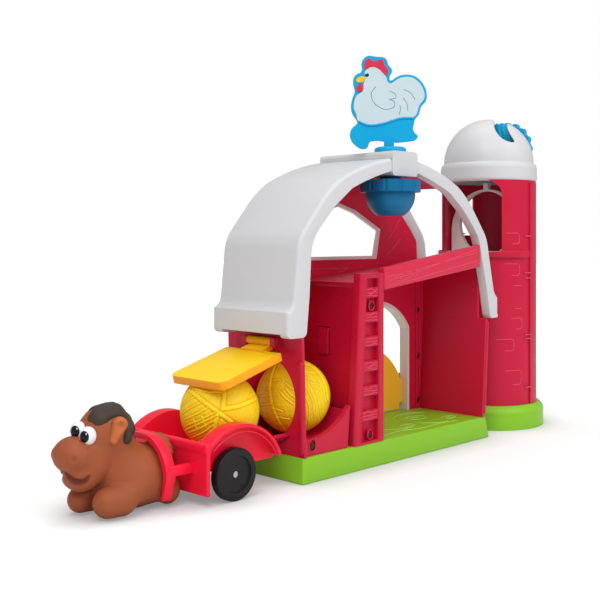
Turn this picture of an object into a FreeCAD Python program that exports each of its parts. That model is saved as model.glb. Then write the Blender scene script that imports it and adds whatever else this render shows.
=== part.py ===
import FreeCAD, Part
import math
import os
import re
import Sketcher

# Toy farm playset: an open barn with a ball chute, a silo, a horse cart and two balls.
# Frame: origin at the middle of the barn base's underside, +X along the barn towards the silo,
# +Y towards the doors, +Z up. All sizes are in millimetres.

SIZES = [
    # Green base of the barn.
    ("base_length", 264, "barn base along X"),
    ("base_width", 103, "barn base along Y"),
    ("base_height", 21, "barn base from the table to its top"),
    ("base_wall", 2.5, "wall of the base shell"),
    ("base_corner", 11, "cut corner of the base by the silo"),
    ("plate_thick", 2.5, "closing plate under the base"),
    ("fit_gap", 0.2, "gap round a part that drops into another"),
    ("boss_radius", 4, "screw bosses in the base"),
    ("screw_radius", 1.4, "shank of the housing screws"),
    ("screw_head_radius", 2.8, "head of the housing screws"),
    ("screw_length", 12, "shank length of the housing screws"),
    ("screw_inset", 12, "screws in from the base's edges"),
    # What the base holds.
    ("cell_radius", 5.2, "one AAA cell"),
    ("cell_length", 44.5, "one AAA cell"),
    ("cell_pitch", 12, "from cell to cell"),
    ("cell_box_x", -70, "middle of the battery box"),
    ("cell_box_length", 50, "battery box along X"),
    ("cell_box_width", 26, "battery box along Y"),
    ("cell_box_height", 14, "battery box top"),
    ("box_wall", 1.5, "wall of the battery box"),
    ("contact_thick", 0.6, "spring contacts"),
    ("speaker_x", 20, "middle of the speaker"),
    ("speaker_radius", 18, "speaker frame"),
    ("speaker_height", 9, "speaker from its seat to its magnet"),
    ("board_x", 82, "middle of the circuit board"),
    ("board_length", 44, "circuit board along X"),
    ("board_width", 32, "circuit board along Y"),
    ("board_thick", 1.6, "circuit board"),
    ("board_post", 5, "posts under the circuit board"),
    ("knob_x", 60, "power knob at rest"),
    ("knob_length", 7, "power knob along X"),
    ("knob_height", 4, "power knob along Z"),
    ("knob_travel", 4, "how far the power knob slides"),
    ("knob_proud", 2, "how far the power knob stands out"),
    # Barn walls.
    ("facade_thick", 10, "door wall, over its rims"),
    ("facade_web", 3, "door wall between its rims"),
    ("wall_thick", 2.5, "side walls"),
    ("wall_top", 117, "top of the side walls, where the roof sits"),
    ("left_foot_x", -130.4, "outside of the left wall at its foot"),
    ("left_top_x", -133.2, "outside of the left wall at its top"),
    ("right_foot_x", 121.5, "outside of the right wall at its foot"),
    ("right_top_x", 127.5, "outside of the right wall at its top"),
    ("upstand_left", 145, "top of the left wall's tongue inside the roof"),
    ("upstand_right", 172, "top of the right wall beside the loft"),
    ("exit_clearance", 2, "round ball opening, wider than the ball all round"),
    ("exit_z", 66, "middle of the ball opening"),
    ("ball_side_gap", 3, "between the ball in the chute and the walls it falls between"),
    # Roof outline, as distances from its middle and heights.
    ("roof_x", -3, "middle of the roof"),
    ("ridge_z", 268, "top of the roof at the middle"),
    ("ridge_in_z", 258, "underside of the roof's end arches at the middle"),
    ("slope_mid_dx", 54.8, "upper slope, halfway"),
    ("slope_mid_z", 256.6, "upper slope, halfway"),
    ("slope_dx", 83.4, "end of the upper slope"),
    ("slope_z", 244.9, "end of the upper slope"),
    ("hip_mid_dx", 99.4, "rounded hip, halfway"),
    ("hip_mid_z", 233, "rounded hip, halfway"),
    ("hip_dx", 112, "end of the rounded hip"),
    ("hip_z", 219.6, "end of the rounded hip"),
    ("knee_dx", 133.1, "knee, where the steep leg starts"),
    ("knee_z", 195, "knee height"),
    ("leg_dx", 138.4, "end of the steep leg"),
    ("leg_z", 147, "end of the steep leg"),
    ("eave_dx", 146, "outside of the eave's box"),
    ("eave_z", 137.6, "upper edge of the eave's box"),
    ("eave_corner", 4, "round lower corner of the eave's box"),
    ("eave_low_z", 117, "lowest point of the eave's end arches"),
    ("eave_skin_z", 120, "lower edge of the roof sheet"),
    ("arch_foot_dx", 125, "inside of the arch at its foot"),
    ("arch_low_dx", 121.6, "inside of the arch at the end of the leg"),
    ("arch_low_z", 150, "inside of the arch at the end of the leg"),
    ("arch_knee_dx", 119, "inside of the arch at the knee"),
    ("arch_knee_z", 193, "inside of the arch at the knee"),
    ("arch_hip_dx", 90, "inside of the arch at the hip"),
    ("arch_hip_z", 223, "inside of the arch at the hip"),
    ("arch_slope_dx", 70, "inside of the arch on the slope"),
    ("arch_slope_z", 237.5, "inside of the arch on the slope"),
    ("near_arch", 9, "thickness of the arch at the open side"),
    ("skin_thick", 3, "roof sheet"),
    ("strip_dx", 75, "how far the roof sheet runs past the ridge"),
    ("lining_thick", 2, "red lining under the roof sheet"),
    ("lining_gap", 0.3, "between the roof and its lining"),
    ("cap_half", 14.4, "half the width of the ridge cap"),
    ("cap_top", 272.7, "top of the ridge cap"),
    ("cap_block_half", 17.6, "half the width of the block at its open end"),
    ("cap_block_low", 250.6, "underside of that block"),
    ("cap_corner", 3.6, "round corners of the ridge cap"),
    ("cap_block_length", 31, "length of that block"),
    # Window and doorway in the door wall.
    ("trim_width", 3, "white trims round the openings"),
    ("window_trim_depth", 3.5, "window trim along Y"),
    ("flange_width", 12, "door wall's corner flange beside the right wall"),
    ("flange_thick", 2, "that flange along Y"),
    ("window_half_low", 52, "half the window's width at its sill"),
    ("window_half", 58, "half the window's width at its shoulders"),
    ("window_sill_z", 178.6, "window sill"),
    ("window_shoulder_z", 203, "window shoulders"),
    ("window_eave_dx", 23, "top corner of the window's slope"),
    ("window_eave_z", 219.4, "top corner of the window's slope"),
    ("window_peak_z", 226, "window peak"),
    ("door_x", 35, "middle of the doorway"),
    ("door_half", 66, "half the doorway's width"),
    ("door_shoulder_z", 104, "doorway shoulders"),
    ("door_bend_dx", 52.2, "middle of the doorway's rounded slope"),
    ("door_bend_z", 118.8, "middle of the doorway's rounded slope"),
    ("door_eave_dx", 31, "top corner of the doorway's slope"),
    ("door_eave_z", 128.8, "top corner of the doorway's slope"),
    ("door_peak_z", 138, "doorway peak"),
    # Half doors.
    ("leaf_thick", 3.4, "half doors"),
    ("leaf_gap", 0.4, "gap round each half door"),
    ("leaf_shoulder", 5.2, "how much the round top's radius is larger than half the doorway"),
    ("leaf_arc_z", 18.8, "middle of that round top"),
    ("leaf_low_z", 21.8, "lower edge of the half doors"),
    ("leaf_back", 0.3, "half doors behind the door wall's outer face"),
    ("hinge_out", 3, "door hinge axis in front of the door wall"),
    ("hinge_radius", 2.6, "door hinge barrel"),
    ("hinge_pin_radius", 1.5, "hinge pins"),
    ("pin_clearance", 0.06, "running clearance round every pin"),
    ("lug_low_z", 24, "lower door hinge lug"),
    ("lug_height", 4, "height of a door hinge lug"),
    ("barrel_height", 24, "door hinge barrel between its lugs"),
    ("lug_reach", 9, "door hinge lug along the wall"),
    # Ladder tower between the chute and the barn bay.
    ("tower_left_foot_x", -67.4, "chute side of the tower at its foot"),
    ("tower_left_top_x", -61, "chute side of the tower at its top"),
    ("tower_right_foot_x", -35.6, "bay side of the tower at its foot"),
    ("tower_right_top_x", -33.5, "bay side of the tower at its top"),
    ("frame_left_foot_x", -75.3, "ladder frame at its foot, chute side"),
    ("frame_left_top_x", -62, "ladder frame at its top, chute side"),
    ("frame_right_foot_x", -35.3, "ladder frame at its foot, bay side"),
    ("frame_right_top_x", -30.7, "ladder frame at its top, bay side"),
    ("tower_top", 166, "top of the tower"),
    ("rail_left", 9.4, "ladder rail at the chute side"),
    ("rail_right", 8, "ladder rail at the bay side"),
    ("rail_depth", 8, "ladder rails along Y"),
    ("rung_first_z", 37, "middle of the lowest rung"),
    ("rung_pitch", 20.9, "from rung to rung"),
    ("rung_count", 6, "rungs"),
    ("rung_height", 8.5, "one rung"),
    ("rung_recess", 0.8, "rungs behind the rails"),
    ("chute_wall_top", 154, "top of the tower's chute wall"),
    # Trigger in the chute wall.
    ("trigger_low_z", 95, "lower edge of the trigger"),
    ("trigger_high_z", 118, "upper edge of the trigger"),
    ("trigger_width", 12, "trigger along Y"),
    ("trigger_proud", 1, "how far the trigger stands into the chute"),
    ("trigger_gap", 0.5, "gap round the trigger"),
    ("trigger_pin_radius", 0.8, "the trigger's own pivot"),
    ("switch_size", 5, "sound switch, each way"),
    ("switch_gap", 1.6, "from the chute wall to the sound switch"),
    # Loft.
    ("loft_left_z", 158, "loft floor at the chute"),
    ("loft_right_z", 175, "loft floor at the silo"),
    ("loft_thick", 3, "loft floor"),
    ("beam_left_top_z", 166, "loft beam at the ladder, top"),
    ("beam_right_top_z", 189, "loft beam at the arch, top"),
    ("beam_left_low_z", 151, "loft beam at the ladder, underside"),
    ("beam_right_low_z", 167.8, "loft beam at the arch, underside"),
    ("beam_thick", 7, "loft beam along Y"),
    ("beam_end_x", 115.8, "end of the loft beam at the arch"),
    # Ramp under the chute.
    ("ramp_x", -100.3, "middle of the ramp's bend"),
    ("ramp_clearance", 4, "ramp's bend, wider than the ball all round"),
    ("ramp_web_mid_x", -87.5, "middle of the front web's curved edge"),
    ("ramp_web_mid_z", 42.5, "middle of the front web's curved edge"),
    ("ramp_thick", 3, "ramp sheet"),
    ("ramp_web_high_z", 56, "ramp's front web at the tower"),
    ("ramp_web_low_z", 35, "ramp's front web at the wall"),
    ("spout_length", 16, "spout outside the left wall"),
    ("spout_half_angle", 42, "half the spout's opening, in degrees"),
    # Balls.
    ("ball_radius", 32, "both balls"),
    ("ball_gap", 0.3, "between a ball and what it lies on"),
    ("chute_ball_x", -99.6, "ball at the foot of the chute"),
    ("cart_ball_x", -178.2, "ball in the cart"),
    ("cart_ball_y", -4.5, "ball in the cart"),
    ("cart_ball_z", 59.1, "ball in the cart"),
    # Exit flap.
    ("flap_hinge_x", -137, "flap hinge axis"),
    ("flap_hinge_z", 112, "flap hinge axis"),
    ("flap_tilt", 16, "how far the flap slopes down as it lies on the ball, in degrees"),
    ("flap_start", 8.7, "from the hinge axis to the panel"),
    ("flap_end", 72.5, "from the hinge axis to the panel's edge"),
    ("flap_drop", 4.8, "panel's top below the hinge axis"),
    ("flap_skin", 2, "flap panel"),
    ("flap_rim", 6.5, "depth of the flap's rim"),
    ("flap_low_y", -38.5, "flap's edge at the open side"),
    ("flap_width", 65, "flap along Y"),
    ("flap_corner", 8, "flap's round corners"),
    ("flap_barrel_radius", 3.4, "flap hinge barrel"),
    ("flap_barrel_y", -22, "start of the flap hinge barrel"),
    ("flap_barrel_length", 28, "length of the flap hinge barrel"),
    ("flap_lug_width", 5, "lugs on the left wall"),
    # Weathervane.
    ("vane_y", -35.5, "weathervane axis"),
    ("vane_turn", -45.7, "direction the weathervane points at rest, in degrees"),
    ("vane_thick", 5, "weathervane plate"),
    ("inlay_proud", 0.5, "rooster body in front of its plate"),
    ("rooster_height", 83.3, "rooster from its lowest point to the top of its comb"),
    ("vane_flange_radius", 14.3, "round foot of the weathervane"),
    ("vane_flange_gap", 0.3, "between that foot and the ridge cap"),
    ("vane_flange_thick", 4.4, "round foot of the weathervane"),
    ("spindle_radius", 3.5, "weathervane spindle"),
    ("rotor_disc_radius", 27, "lobed disc"),
    ("rotor_groove", 2, "grooves between the disc's lobes"),
    ("rotor_lobes", 12, "lobes round the disc"),
    ("rotor_hub_radius", 9.5, "hub on the disc"),
    ("rotor_hub_high", 250.2, "hub's top"),
    ("rotor_disc_low", 237, "lobed disc's underside"),
    ("rotor_disc_high", 247.6, "lobed disc's top"),
    ("rotor_cup_radius", 22, "cup under the disc"),
    ("rotor_cup_low", 216, "underside of the cup"),
    ("rotor_cup_end", 11.7, "radius of the cup's flat end"),
    # Silo.
    ("silo_x", 205.3, "silo axis"),
    ("silo_y", -2, "silo axis"),
    ("silo_radius", 49.5, "outside of the silo"),
    ("silo_wall", 3, "silo wall"),
    ("silo_top", 262, "top of the silo shells, inside the dome"),
    ("foot_radius", 57, "green foot of the silo"),
    ("foot_height", 24, "green foot of the silo"),
    ("neck_low_y", -10, "neck from the silo's foot to the barn base"),
    ("neck_width", 46, "width of that neck"),
    ("neck_height", 17, "height of that neck"),
    ("pilaster_width", 15.5, "raised strip on the silo's seam"),
    ("pilaster_proud", 1.6, "raised strip on the silo's seam"),
    ("gate_sill_z", 182, "floor of the silo's upper room"),
    ("mouth_half", 37.3, "half the width of the silo's mouth"),
    ("mouth_top_z", 257, "top of the silo's mouth"),
    ("mouth_corner", 16, "round corners of the silo's mouth"),
    ("lip_radius", 53.5, "sill lip under the silo's mouth"),
    ("lip_height", 7, "sill lip"),
    ("lip_half", 50.5, "half the sill lip's length along Y"),
    ("port_azimuth", 67, "window in the silo's far side, in degrees from +X"),
    ("port_half", 10.8, "half the width of that window"),
    ("port_low_z", 199, "window in the silo's far side"),
    ("port_high_z", 240, "window in the silo's far side"),
    ("gate_thick", 5.5, "white gate in the silo"),
    ("gate_half", 44.2, "half the width of the gate"),
    ("gate_spring_z", 206, "where the gate's round top starts"),
    ("gate_hole_radius", 34, "ball hole in the gate"),
    ("gate_hole_z", 212, "middle of the ball hole"),
    ("tray_thick", 3, "floor tray in front of the gate"),
    ("brim_radius", 53, "brim of the dome"),
    ("brim_low_z", 254.7, "lower edge of the brim"),
    ("brim_high_z", 273, "upper edge of the brim"),
    ("dome_radius", 47.2, "dome above its brim"),
    ("dome_mid_dx", 45.7, "dome, lower arc"),
    ("dome_mid_z", 292.7, "dome, lower arc"),
    ("dome_high_dx", 41.4, "dome, between its arcs"),
    ("dome_high_z", 303.4, "dome, between its arcs"),
    ("dome_top_dx", 24, "dome, upper arc"),
    ("dome_top_z", 318.4, "dome, upper arc"),
    ("dome_peak_z", 323, "dome peak"),
    ("dome_wall", 2.5, "dome wall"),
    # Toothed wheel in the dome.
    ("wheel_axis_y", -10.5, "axle of the dome wheel"),
    ("wheel_axis_z", 291.5, "axle of the dome wheel"),
    ("wheel_offset", 24.7, "dome wheel from the silo axis"),
    ("wheel_thick", 5, "dome wheel"),
    ("wheel_radius", 29.6, "dome wheel between its teeth"),
    ("wheel_tooth", 2.2, "teeth of the dome wheel"),
    ("wheel_teeth", 16, "teeth round the dome wheel"),
    ("wheel_gap", 0.6, "slot round the dome wheel"),
    ("wheel_hub_radius", 7, "hub of the dome wheel"),
    ("wheel_hub_length", 3, "hub of the dome wheel, on its inner side"),
    ("scoop_azimuth", 32.2, "direction in which the scoop is cut, in degrees from +X"),
    ("scoop_rise", 5.9, "how far that direction rises, in degrees"),
    ("bracket_thick", 3, "axle brackets inside the dome"),
    ("bracket_half", 5, "axle brackets from the axle to their edges"),
    ("axle_radius", 2.5, "steel axles"),
    # Cart.
    ("cart_back_x", -154, "cart's end at the barn"),
    ("cart_front_x", -229, "cart's end at the horse"),
    ("cart_y", -1.5, "middle of the cart"),
    ("cart_half", 38, "half the width of the cart's tub, outside"),
    ("cart_wall", 2.6, "cart walls"),
    ("cart_floor_z", 26.8, "top of the cart's floor"),
    ("cart_side_z", 57, "top of the cart's arched sides"),
    ("cart_end_z", 43, "top of the cart's front"),
    ("cart_low_z", 13, "lower edge of the cart's front"),
    ("fender_width", 10, "fenders over the wheels, along Y"),
    ("cart_axle_x", -199, "cart axle"),
    ("cart_wheel_radius", 19.8, "cart wheels"),
    ("cart_wheel_width", 8, "cart wheels along Y"),
    ("cart_wheel_gap", 1, "between a cart wheel and the tub"),
    ("fender_radius", 25, "round opening over each cart wheel"),
    ("yoke_x", -250, "middle of the yoke"),
    ("yoke_depth", 8, "yoke along X"),
    ("yoke_half", 33, "half the width of the yoke, outside"),
    ("yoke_wall", 4.5, "yoke band"),
    ("yoke_spring_z", 24, "where the yoke's round top starts"),
    ("yoke_foot_z", 7, "pointed ends of the yoke"),
    ("shaft_height", 7, "shafts from the yoke to the cart"),
    ("shaft_z", 28, "middle of the shafts"),
    # Horse.
    ("horse_y", -1.5, "middle of the horse"),
    ("horse_body_x", -262, "middle of the horse's body"),
    ("horse_body_radius", 22, "horse's round body"),
    ("horse_body_length", 64, "horse's body along X"),
    ("horse_head_x", -288, "middle of the horse's head"),
    ("horse_head_z", 56, "middle of the horse's head"),
    ("horse_head_radius", 20.5, "horse's head"),
    ("muzzle_x", -309, "middle of the muzzle"),
    ("muzzle_z", 43, "middle of the muzzle"),
    ("muzzle_radius", 15.5, "muzzle"),
    ("hoof_radius", 11.3, "folded forelegs"),
    ("hoof_length", 14, "folded forelegs between their round ends"),
    ("hoof_reach", 32, "forelegs from the body's middle"),
    ("hoof_stagger", 3, "near foreleg behind the far one, each way from the middle"),
    ("hoof_spread", 13, "forelegs from the middle between them"),
    ("hoof_shift", -5, "middle between the forelegs, from the horse's middle"),
    ("haunch_radius", 8, "haunches behind the yoke"),
    ("haunch_reach", 23.5, "haunches from the body's middle"),
    ("haunch_spread", 15, "haunches from the horse's middle"),
    ("mane_radius", 21.5, "mane's rounded ridge"),
    ("mane_width", 17, "mane along Y"),
    ("mane_x", -280, "middle of the mane's ridge"),
    ("mane_z", 58, "middle of the mane's ridge"),
    ("eye_radius", 6, "eyes"),
    ("eye_reach", 13.5, "eyes in front of the head's middle"),
    ("eye_spread", 9, "eyes from the horse's middle"),
    ("eye_rise", 8.5, "eyes above the head's middle"),
    ("ear_length", 15, "ears"),
    ("ear_spread", 13, "ears from the horse's middle"),
    ("tail_radius", 6.5, "tail"),
    ("tail_x", -238, "middle of the tail"),
    ("tail_z", 41, "middle of the tail"),
]

os.makedirs("parts", exist_ok=True)
doc = FreeCAD.newDocument("toy_farm")
sheet = doc.addObject("Spreadsheet::Sheet", "Sizes")
for row, (alias, value, note) in enumerate(SIZES, start=1):
    sheet.set(f"A{row}", note)
    sheet.set(f"B{row}", str(value))
    sheet.setAlias(f"B{row}", alias)
doc.recompute()

NODES = []
AXIS_TURN = {
    "x": FreeCAD.Rotation(FreeCAD.Vector(0, 1, 0), 90),
    "y": FreeCAD.Rotation(FreeCAD.Vector(1, 0, 0), -90),
    "z": FreeCAD.Rotation(),
}


# Sizes that follow from others, as expressions.
FOLLOWS = {
    "barn_depth": "(facade_thick + rail_depth + 2 * (ball_radius + ball_side_gap))",
    "ball_path_y": "(-base_width / 2 + rail_depth + ball_side_gap + ball_radius)",
    "exit_radius": "(ball_radius + exit_clearance)",
    "ramp_radius": "(ball_radius + ramp_clearance)",
    "leaf_arc_radius": "(door_half + leaf_shoulder)",
}


def spell_out(text):
    """An expression in the sheet's own names only."""
    for name, rule in FOLLOWS.items():
        text = re.sub(rf"\b{name}\b", rule, text)
    return text


def number(text):
    """What an expression comes to with the sheet's present sizes."""
    return float(sheet.evalExpression(spell_out(text)))


def size(alias):
    """The number in one cell of the sheet, or one that follows from them."""
    return number(alias) if alias in FOLLOWS else float(sheet.get(alias))


def link(text):
    """An expression in which every size name points at its cell."""
    return re.sub(r"\b[a-z]+_\w+", r"Sizes.\g<0>", spell_out(text))


def vec(x, y, z):
    return FreeCAD.Vector(x, y, z)


def node(name, thing):
    """Name the finished sub-part; its file gets this name."""
    thing.Label = name
    NODES.append(thing)
    return thing


def block(name, low, high):
    """A box between two corners, each given as three expressions."""
    box = doc.addObject("Part::Box", name)
    for axis, side, start, end in zip("xyz", ("Length", "Width", "Height"), low, high):
        box.setExpression(side, link(f"({end}) - ({start})"))
        box.setExpression(f"Placement.Base.{axis}", link(start))
    return box


def rod(name, radius, length, start, axis="z"):
    """A cylinder from its start along one axis."""
    cylinder = doc.addObject("Part::Cylinder", name)
    cylinder.Placement = FreeCAD.Placement(vec(0, 0, 0), AXIS_TURN[axis])
    cylinder.setExpression("Radius", link(radius))
    cylinder.setExpression("Height", link(length))
    for letter, place in zip("xyz", start):
        cylinder.setExpression(f"Placement.Base.{letter}", link(place))
    return cylinder


def ball(name, radius, centre):
    sphere = doc.addObject("Part::Sphere", name)
    sphere.setExpression("Radius", link(radius))
    for letter, place in zip("xyz", centre):
        sphere.setExpression(f"Placement.Base.{letter}", link(place))
    return sphere


def fuse(name, *things):
    joined = doc.addObject("Part::MultiFuse", name)
    joined.Shapes = list(things)
    joined.Refine = True
    return joined


def cut(name, base, *tools):
    result = doc.addObject("Part::Cut", name)
    result.Base = base
    result.Tool = tools[0] if len(tools) == 1 else fuse(f"{name}_tools", *tools)
    return result


def group(name, *things):
    """Several separate solids that share one node."""
    compound = doc.addObject("Part::Compound", name)
    compound.Links = list(things)
    return compound


def keep(name, shape):
    """A shape worked out below, as an object of the document."""
    feature = doc.addObject("Part::Feature", name)
    feature.Shape = shape
    return feature


def sketch_on(body, name, role, start):
    """A sketch on one of the body's own planes, moved along that plane's axis."""
    plane = next(part for part in body.Origin.OriginFeatures if part.Role == role)
    sketch = body.newObject("Sketcher::SketchObject", name)
    sketch.AttachmentSupport = [(plane, "")]
    sketch.MapMode = "FlatFace"
    sign = "-" if role == "XZ_Plane" else ""
    sketch.setExpression("AttachmentOffset.Base.z", link(f"{sign}({start})"))
    return sketch


def pin_down(sketch, kind, index, point, text):
    """Measure one point of the sketch from its origin and tie the distance to the sheet."""
    rule = sketch.addConstraint(Sketcher.Constraint(kind, -1, 1, index, point, number(text)))
    sketch.setExpression(f"Constraints[{rule}]", link(text))


def draw(sketch, outline):
    """A closed outline of straight lines, or a circle given as [(x, y, radius)]."""
    if len(outline) == 1:
        x, y, radius = outline[0]
        centre = vec(number(x), number(y), 0)
        ring = sketch.addGeometry(Part.Circle(centre, vec(0, 0, 1), number(radius)))
        rule = sketch.addConstraint(Sketcher.Constraint("Radius", ring, number(radius)))
        sketch.setExpression(f"Constraints[{rule}]", link(radius))
        pin_down(sketch, "DistanceX", ring, 3, x)
        pin_down(sketch, "DistanceY", ring, 3, y)
        return
    corners = [vec(number(x), number(y), 0) for x, y in outline]
    count = len(corners)
    for index in range(count):
        sketch.addGeometry(Part.LineSegment(corners[index], corners[(index + 1) % count]))
    for index in range(count):
        sketch.addConstraint(Sketcher.Constraint("Coincident", index, 2, (index + 1) % count, 1))
        pin_down(sketch, "DistanceX", index, 1, outline[index][0])
        pin_down(sketch, "DistanceY", index, 1, outline[index][1])


def pad(body, name, role, start, depth, outline):
    """Add material from the plane's start along its axis."""
    profile = sketch_on(body, f"{name}_sketch", role, start)
    draw(profile, outline)
    feature = body.newObject("PartDesign::Pad", name)
    feature.Profile = profile
    feature.setExpression("Length", link(depth))
    feature.Reversed = role == "XZ_Plane"
    profile.Visibility = False
    return feature


def pocket(body, name, role, start, depth, outline):
    """Take material away from the plane's start along its axis."""
    profile = sketch_on(body, f"{name}_sketch", role, start)
    draw(profile, outline)
    feature = body.newObject("PartDesign::Pocket", name)
    feature.Profile = profile
    feature.setExpression("Length", link(depth))
    feature.Reversed = role != "XZ_Plane"
    profile.Visibility = False
    return feature


def new_body(name):
    return doc.addObject("PartDesign::Body", name)


def rectangle(x_low, x_high, y_low, y_high):
    return [(x_low, y_low), (x_high, y_low), (x_high, y_high), (x_low, y_high)]


def trace(place, start, *steps):
    """A closed face: a step (a, b) is a line, a step ((a, b), (c, d)) an arc through its first point."""
    edges = []
    here = start
    for step in (*steps, start):
        if isinstance(step[0], tuple):
            through, there = step
            edges.append(Part.Arc(place(*here), place(*through), place(*there)).toShape())
        else:
            there = step
            if math.dist(here, there) > 1e-6:
                edges.append(Part.LineSegment(place(*here), place(*there)).toShape())
        here = there
    return Part.Face(Part.Wire(edges))


def slab(face, direction):
    return face.extrude(direction)


FRONT_Y = -size("base_width") / 2
FACADE_OUT = FRONT_Y + size("barn_depth")
FACADE_IN = FACADE_OUT - size("facade_thick")
front_y = "(-base_width / 2)"
facade_out = "(-base_width / 2 + barn_depth)"
facade_in = "(-base_width / 2 + barn_depth - facade_thick)"

# Base shell: an upside-down tray with one cut corner and a slot for the power knob.
base = new_body("base_shell_body")
pad(base, "base_block", "XY_Plane", "0", "base_height", [
    ("-base_length / 2", "-base_width / 2"),
    ("base_length / 2 - base_corner", "-base_width / 2"),
    ("base_length / 2", "-base_width / 2 + base_corner"),
    ("base_length / 2", "base_width / 2"),
    ("-base_length / 2", "base_width / 2"),
])
pocket(base, "base_hollow", "XY_Plane", "0", "base_height - base_wall", [
    ("-base_length / 2 + base_wall", "-base_width / 2 + base_wall"),
    ("base_length / 2 - base_corner - base_wall / 2", "-base_width / 2 + base_wall"),
    ("base_length / 2 - base_wall", "-base_width / 2 + base_corner + base_wall / 2"),
    ("base_length / 2 - base_wall", "base_width / 2 - base_wall"),
    ("-base_length / 2 + base_wall", "base_width / 2 - base_wall"),
])
pocket(base, "knob_slot", "XZ_Plane", "base_width / 2 - base_wall", "base_wall", rectangle(
    "knob_x - fit_gap", "knob_x + knob_length + knob_travel + fit_gap",
    "base_height / 2 - knob_height / 2 - fit_gap", "base_height / 2 + knob_height / 2 + fit_gap",
))
node("base_shell", base)

# Closing plate with its screw bosses, battery box and speaker holes.
plate_low = ("-base_length / 2 + base_wall + fit_gap", "-base_width / 2 + base_wall + fit_gap", "0")
plate_high = ("base_length / 2 - base_corner - base_wall", "base_width / 2 - base_wall - fit_gap", "plate_thick")
boss_spots = [
    (f"{side} * (base_length / 2 - screw_inset - base_corner)", f"{row} * (base_width / 2 - screw_inset)")
    for side in (-1, 1)
    for row in (-1, 1)
]
bosses = [
    rod(f"boss_{index}", "boss_radius", "base_height - base_wall", (x, y, "0"))
    for index, (x, y) in enumerate(boss_spots)
]
boss_bores = [
    rod(f"boss_bore_{index}", "screw_radius + 0.1", "base_height - base_wall", (x, y, "0"))
    for index, (x, y) in enumerate(boss_spots)
]
boss_sinks = [
    rod(f"boss_sink_{index}", "screw_head_radius + fit_gap", "screw_radius", (x, y, "0"))
    for index, (x, y) in enumerate(boss_spots)
]
box_out = block("cell_box_out", (
    "cell_box_x - cell_box_length / 2 - box_wall", "-cell_box_width / 2 - box_wall", "0"), (
    "cell_box_x + cell_box_length / 2 + box_wall", "cell_box_width / 2 + box_wall", "cell_box_height + box_wall"))
box_in = block("cell_box_in", (
    "cell_box_x - cell_box_length / 2", "-cell_box_width / 2", "0"), (
    "cell_box_x + cell_box_length / 2", "cell_box_width / 2", "cell_box_height"))
posts = [
    rod(f"board_post_{index}", "boss_radius / 2", "board_post", (
        f"board_x + {side} * (board_length / 2 - boss_radius)",
        f"{row} * (board_width / 2 - boss_radius)", "plate_thick"))
    for index, (side, row) in enumerate(((-1, -1), (-1, 1), (1, -1), (1, 1)))
]
sound_holes = [
    rod(f"sound_hole_{index}", "base_wall / 2", "plate_thick", (
        f"speaker_x + speaker_radius * {0.55 * math.cos(math.pi * index / 4):.4f}",
        f"speaker_radius * {0.55 * math.sin(math.pi * index / 4):.4f}", "0"))
    for index in range(8)
]
plate = fuse("plate_joined", block("plate_slab", plate_low, plate_high), box_out, *bosses, *posts)
node("base_plate", cut("base_plate_cut", plate, box_in, *boss_bores, *boss_sinks, *sound_holes))

screws = []
for index, (x, y) in enumerate(boss_spots):
    head = rod(f"screw_head_{index}", "screw_head_radius", "screw_radius", (x, y, "0"))
    shank = rod(f"screw_shank_{index}", "screw_radius", "screw_length", (x, y, "screw_radius"))
    screws.append(fuse(f"screw_{index}", head, shank))
node("base_screws", group("base_screws_group", *screws))

node("battery_door", block("battery_door_block", (
    "cell_box_x - cell_box_length / 2 + fit_gap", "-cell_box_width / 2 + fit_gap", "0"), (
    "cell_box_x + cell_box_length / 2 - fit_gap", "cell_box_width / 2 - fit_gap", "plate_thick")))
cells = [
    rod(f"cell_{index}", "cell_radius", "cell_length", (
        "cell_box_x - cell_length / 2", f"{side} * cell_pitch / 2", "plate_thick + cell_radius"), "x")
    for index, side in enumerate((-1, 1))
]
node("batteries", group("batteries_group", *cells))
contacts = []
for index, side in enumerate((-1, 1)):
    for end, edge in enumerate((-1, 1)):
        inner = f"cell_box_x + {edge} * cell_length / 2"
        outer = f"cell_box_x + {edge} * cell_box_length / 2"
        low_x, high_x = (outer, inner) if edge < 0 else (inner, outer)
        contacts.append(block(f"contact_{index}_{end}", (
            low_x, f"{side} * cell_pitch / 2 - contact_thick", "plate_thick + cell_radius - 2 * contact_thick"), (
            high_x, f"{side} * cell_pitch / 2 + contact_thick", "plate_thick + cell_radius + 2 * contact_thick")))
node("battery_contacts", group("battery_contacts_group", *contacts))

speaker_frame = rod("speaker_frame", "speaker_radius", "speaker_height / 3", ("speaker_x", "0", "plate_thick"))
speaker_basket = rod(
    "speaker_basket", "speaker_radius * 0.7", "speaker_height * 2 / 3",
    ("speaker_x", "0", "plate_thick + speaker_height / 3"))
node("speaker", fuse("speaker_fuse", speaker_frame, speaker_basket))
board_low = "plate_thick + board_post"
board = block("board_slab", (
    "board_x - board_length / 2", "-board_width / 2", board_low), (
    "board_x + board_length / 2", "board_width / 2", f"{board_low} + board_thick"))
chip = block("board_chip", (
    "board_x - board_width / 6", "-board_width / 6", f"{board_low} + board_thick"), (
    "board_x + board_width / 6", "board_width / 6", f"{board_low} + 2 * board_thick"))
node("circuit_board", fuse("circuit_board_fuse", board, chip))
knob_stem = block("knob_stem", (
    "knob_x", "base_width / 2 - base_wall - knob_proud", "base_height / 2 - knob_height / 2"), (
    "knob_x + knob_length", "base_width / 2 + knob_proud", "base_height / 2 + knob_height / 2"))
knob_flange = block("knob_flange", (
    "knob_x - knob_proud", "base_width / 2 - base_wall - knob_proud", "base_height / 2 - knob_height"), (
    "knob_x + knob_length + knob_proud", "base_width / 2 - base_wall - fit_gap", "base_height / 2 + knob_height"))
node("power_knob", fuse("power_knob_fuse", knob_stem, knob_flange))

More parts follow.
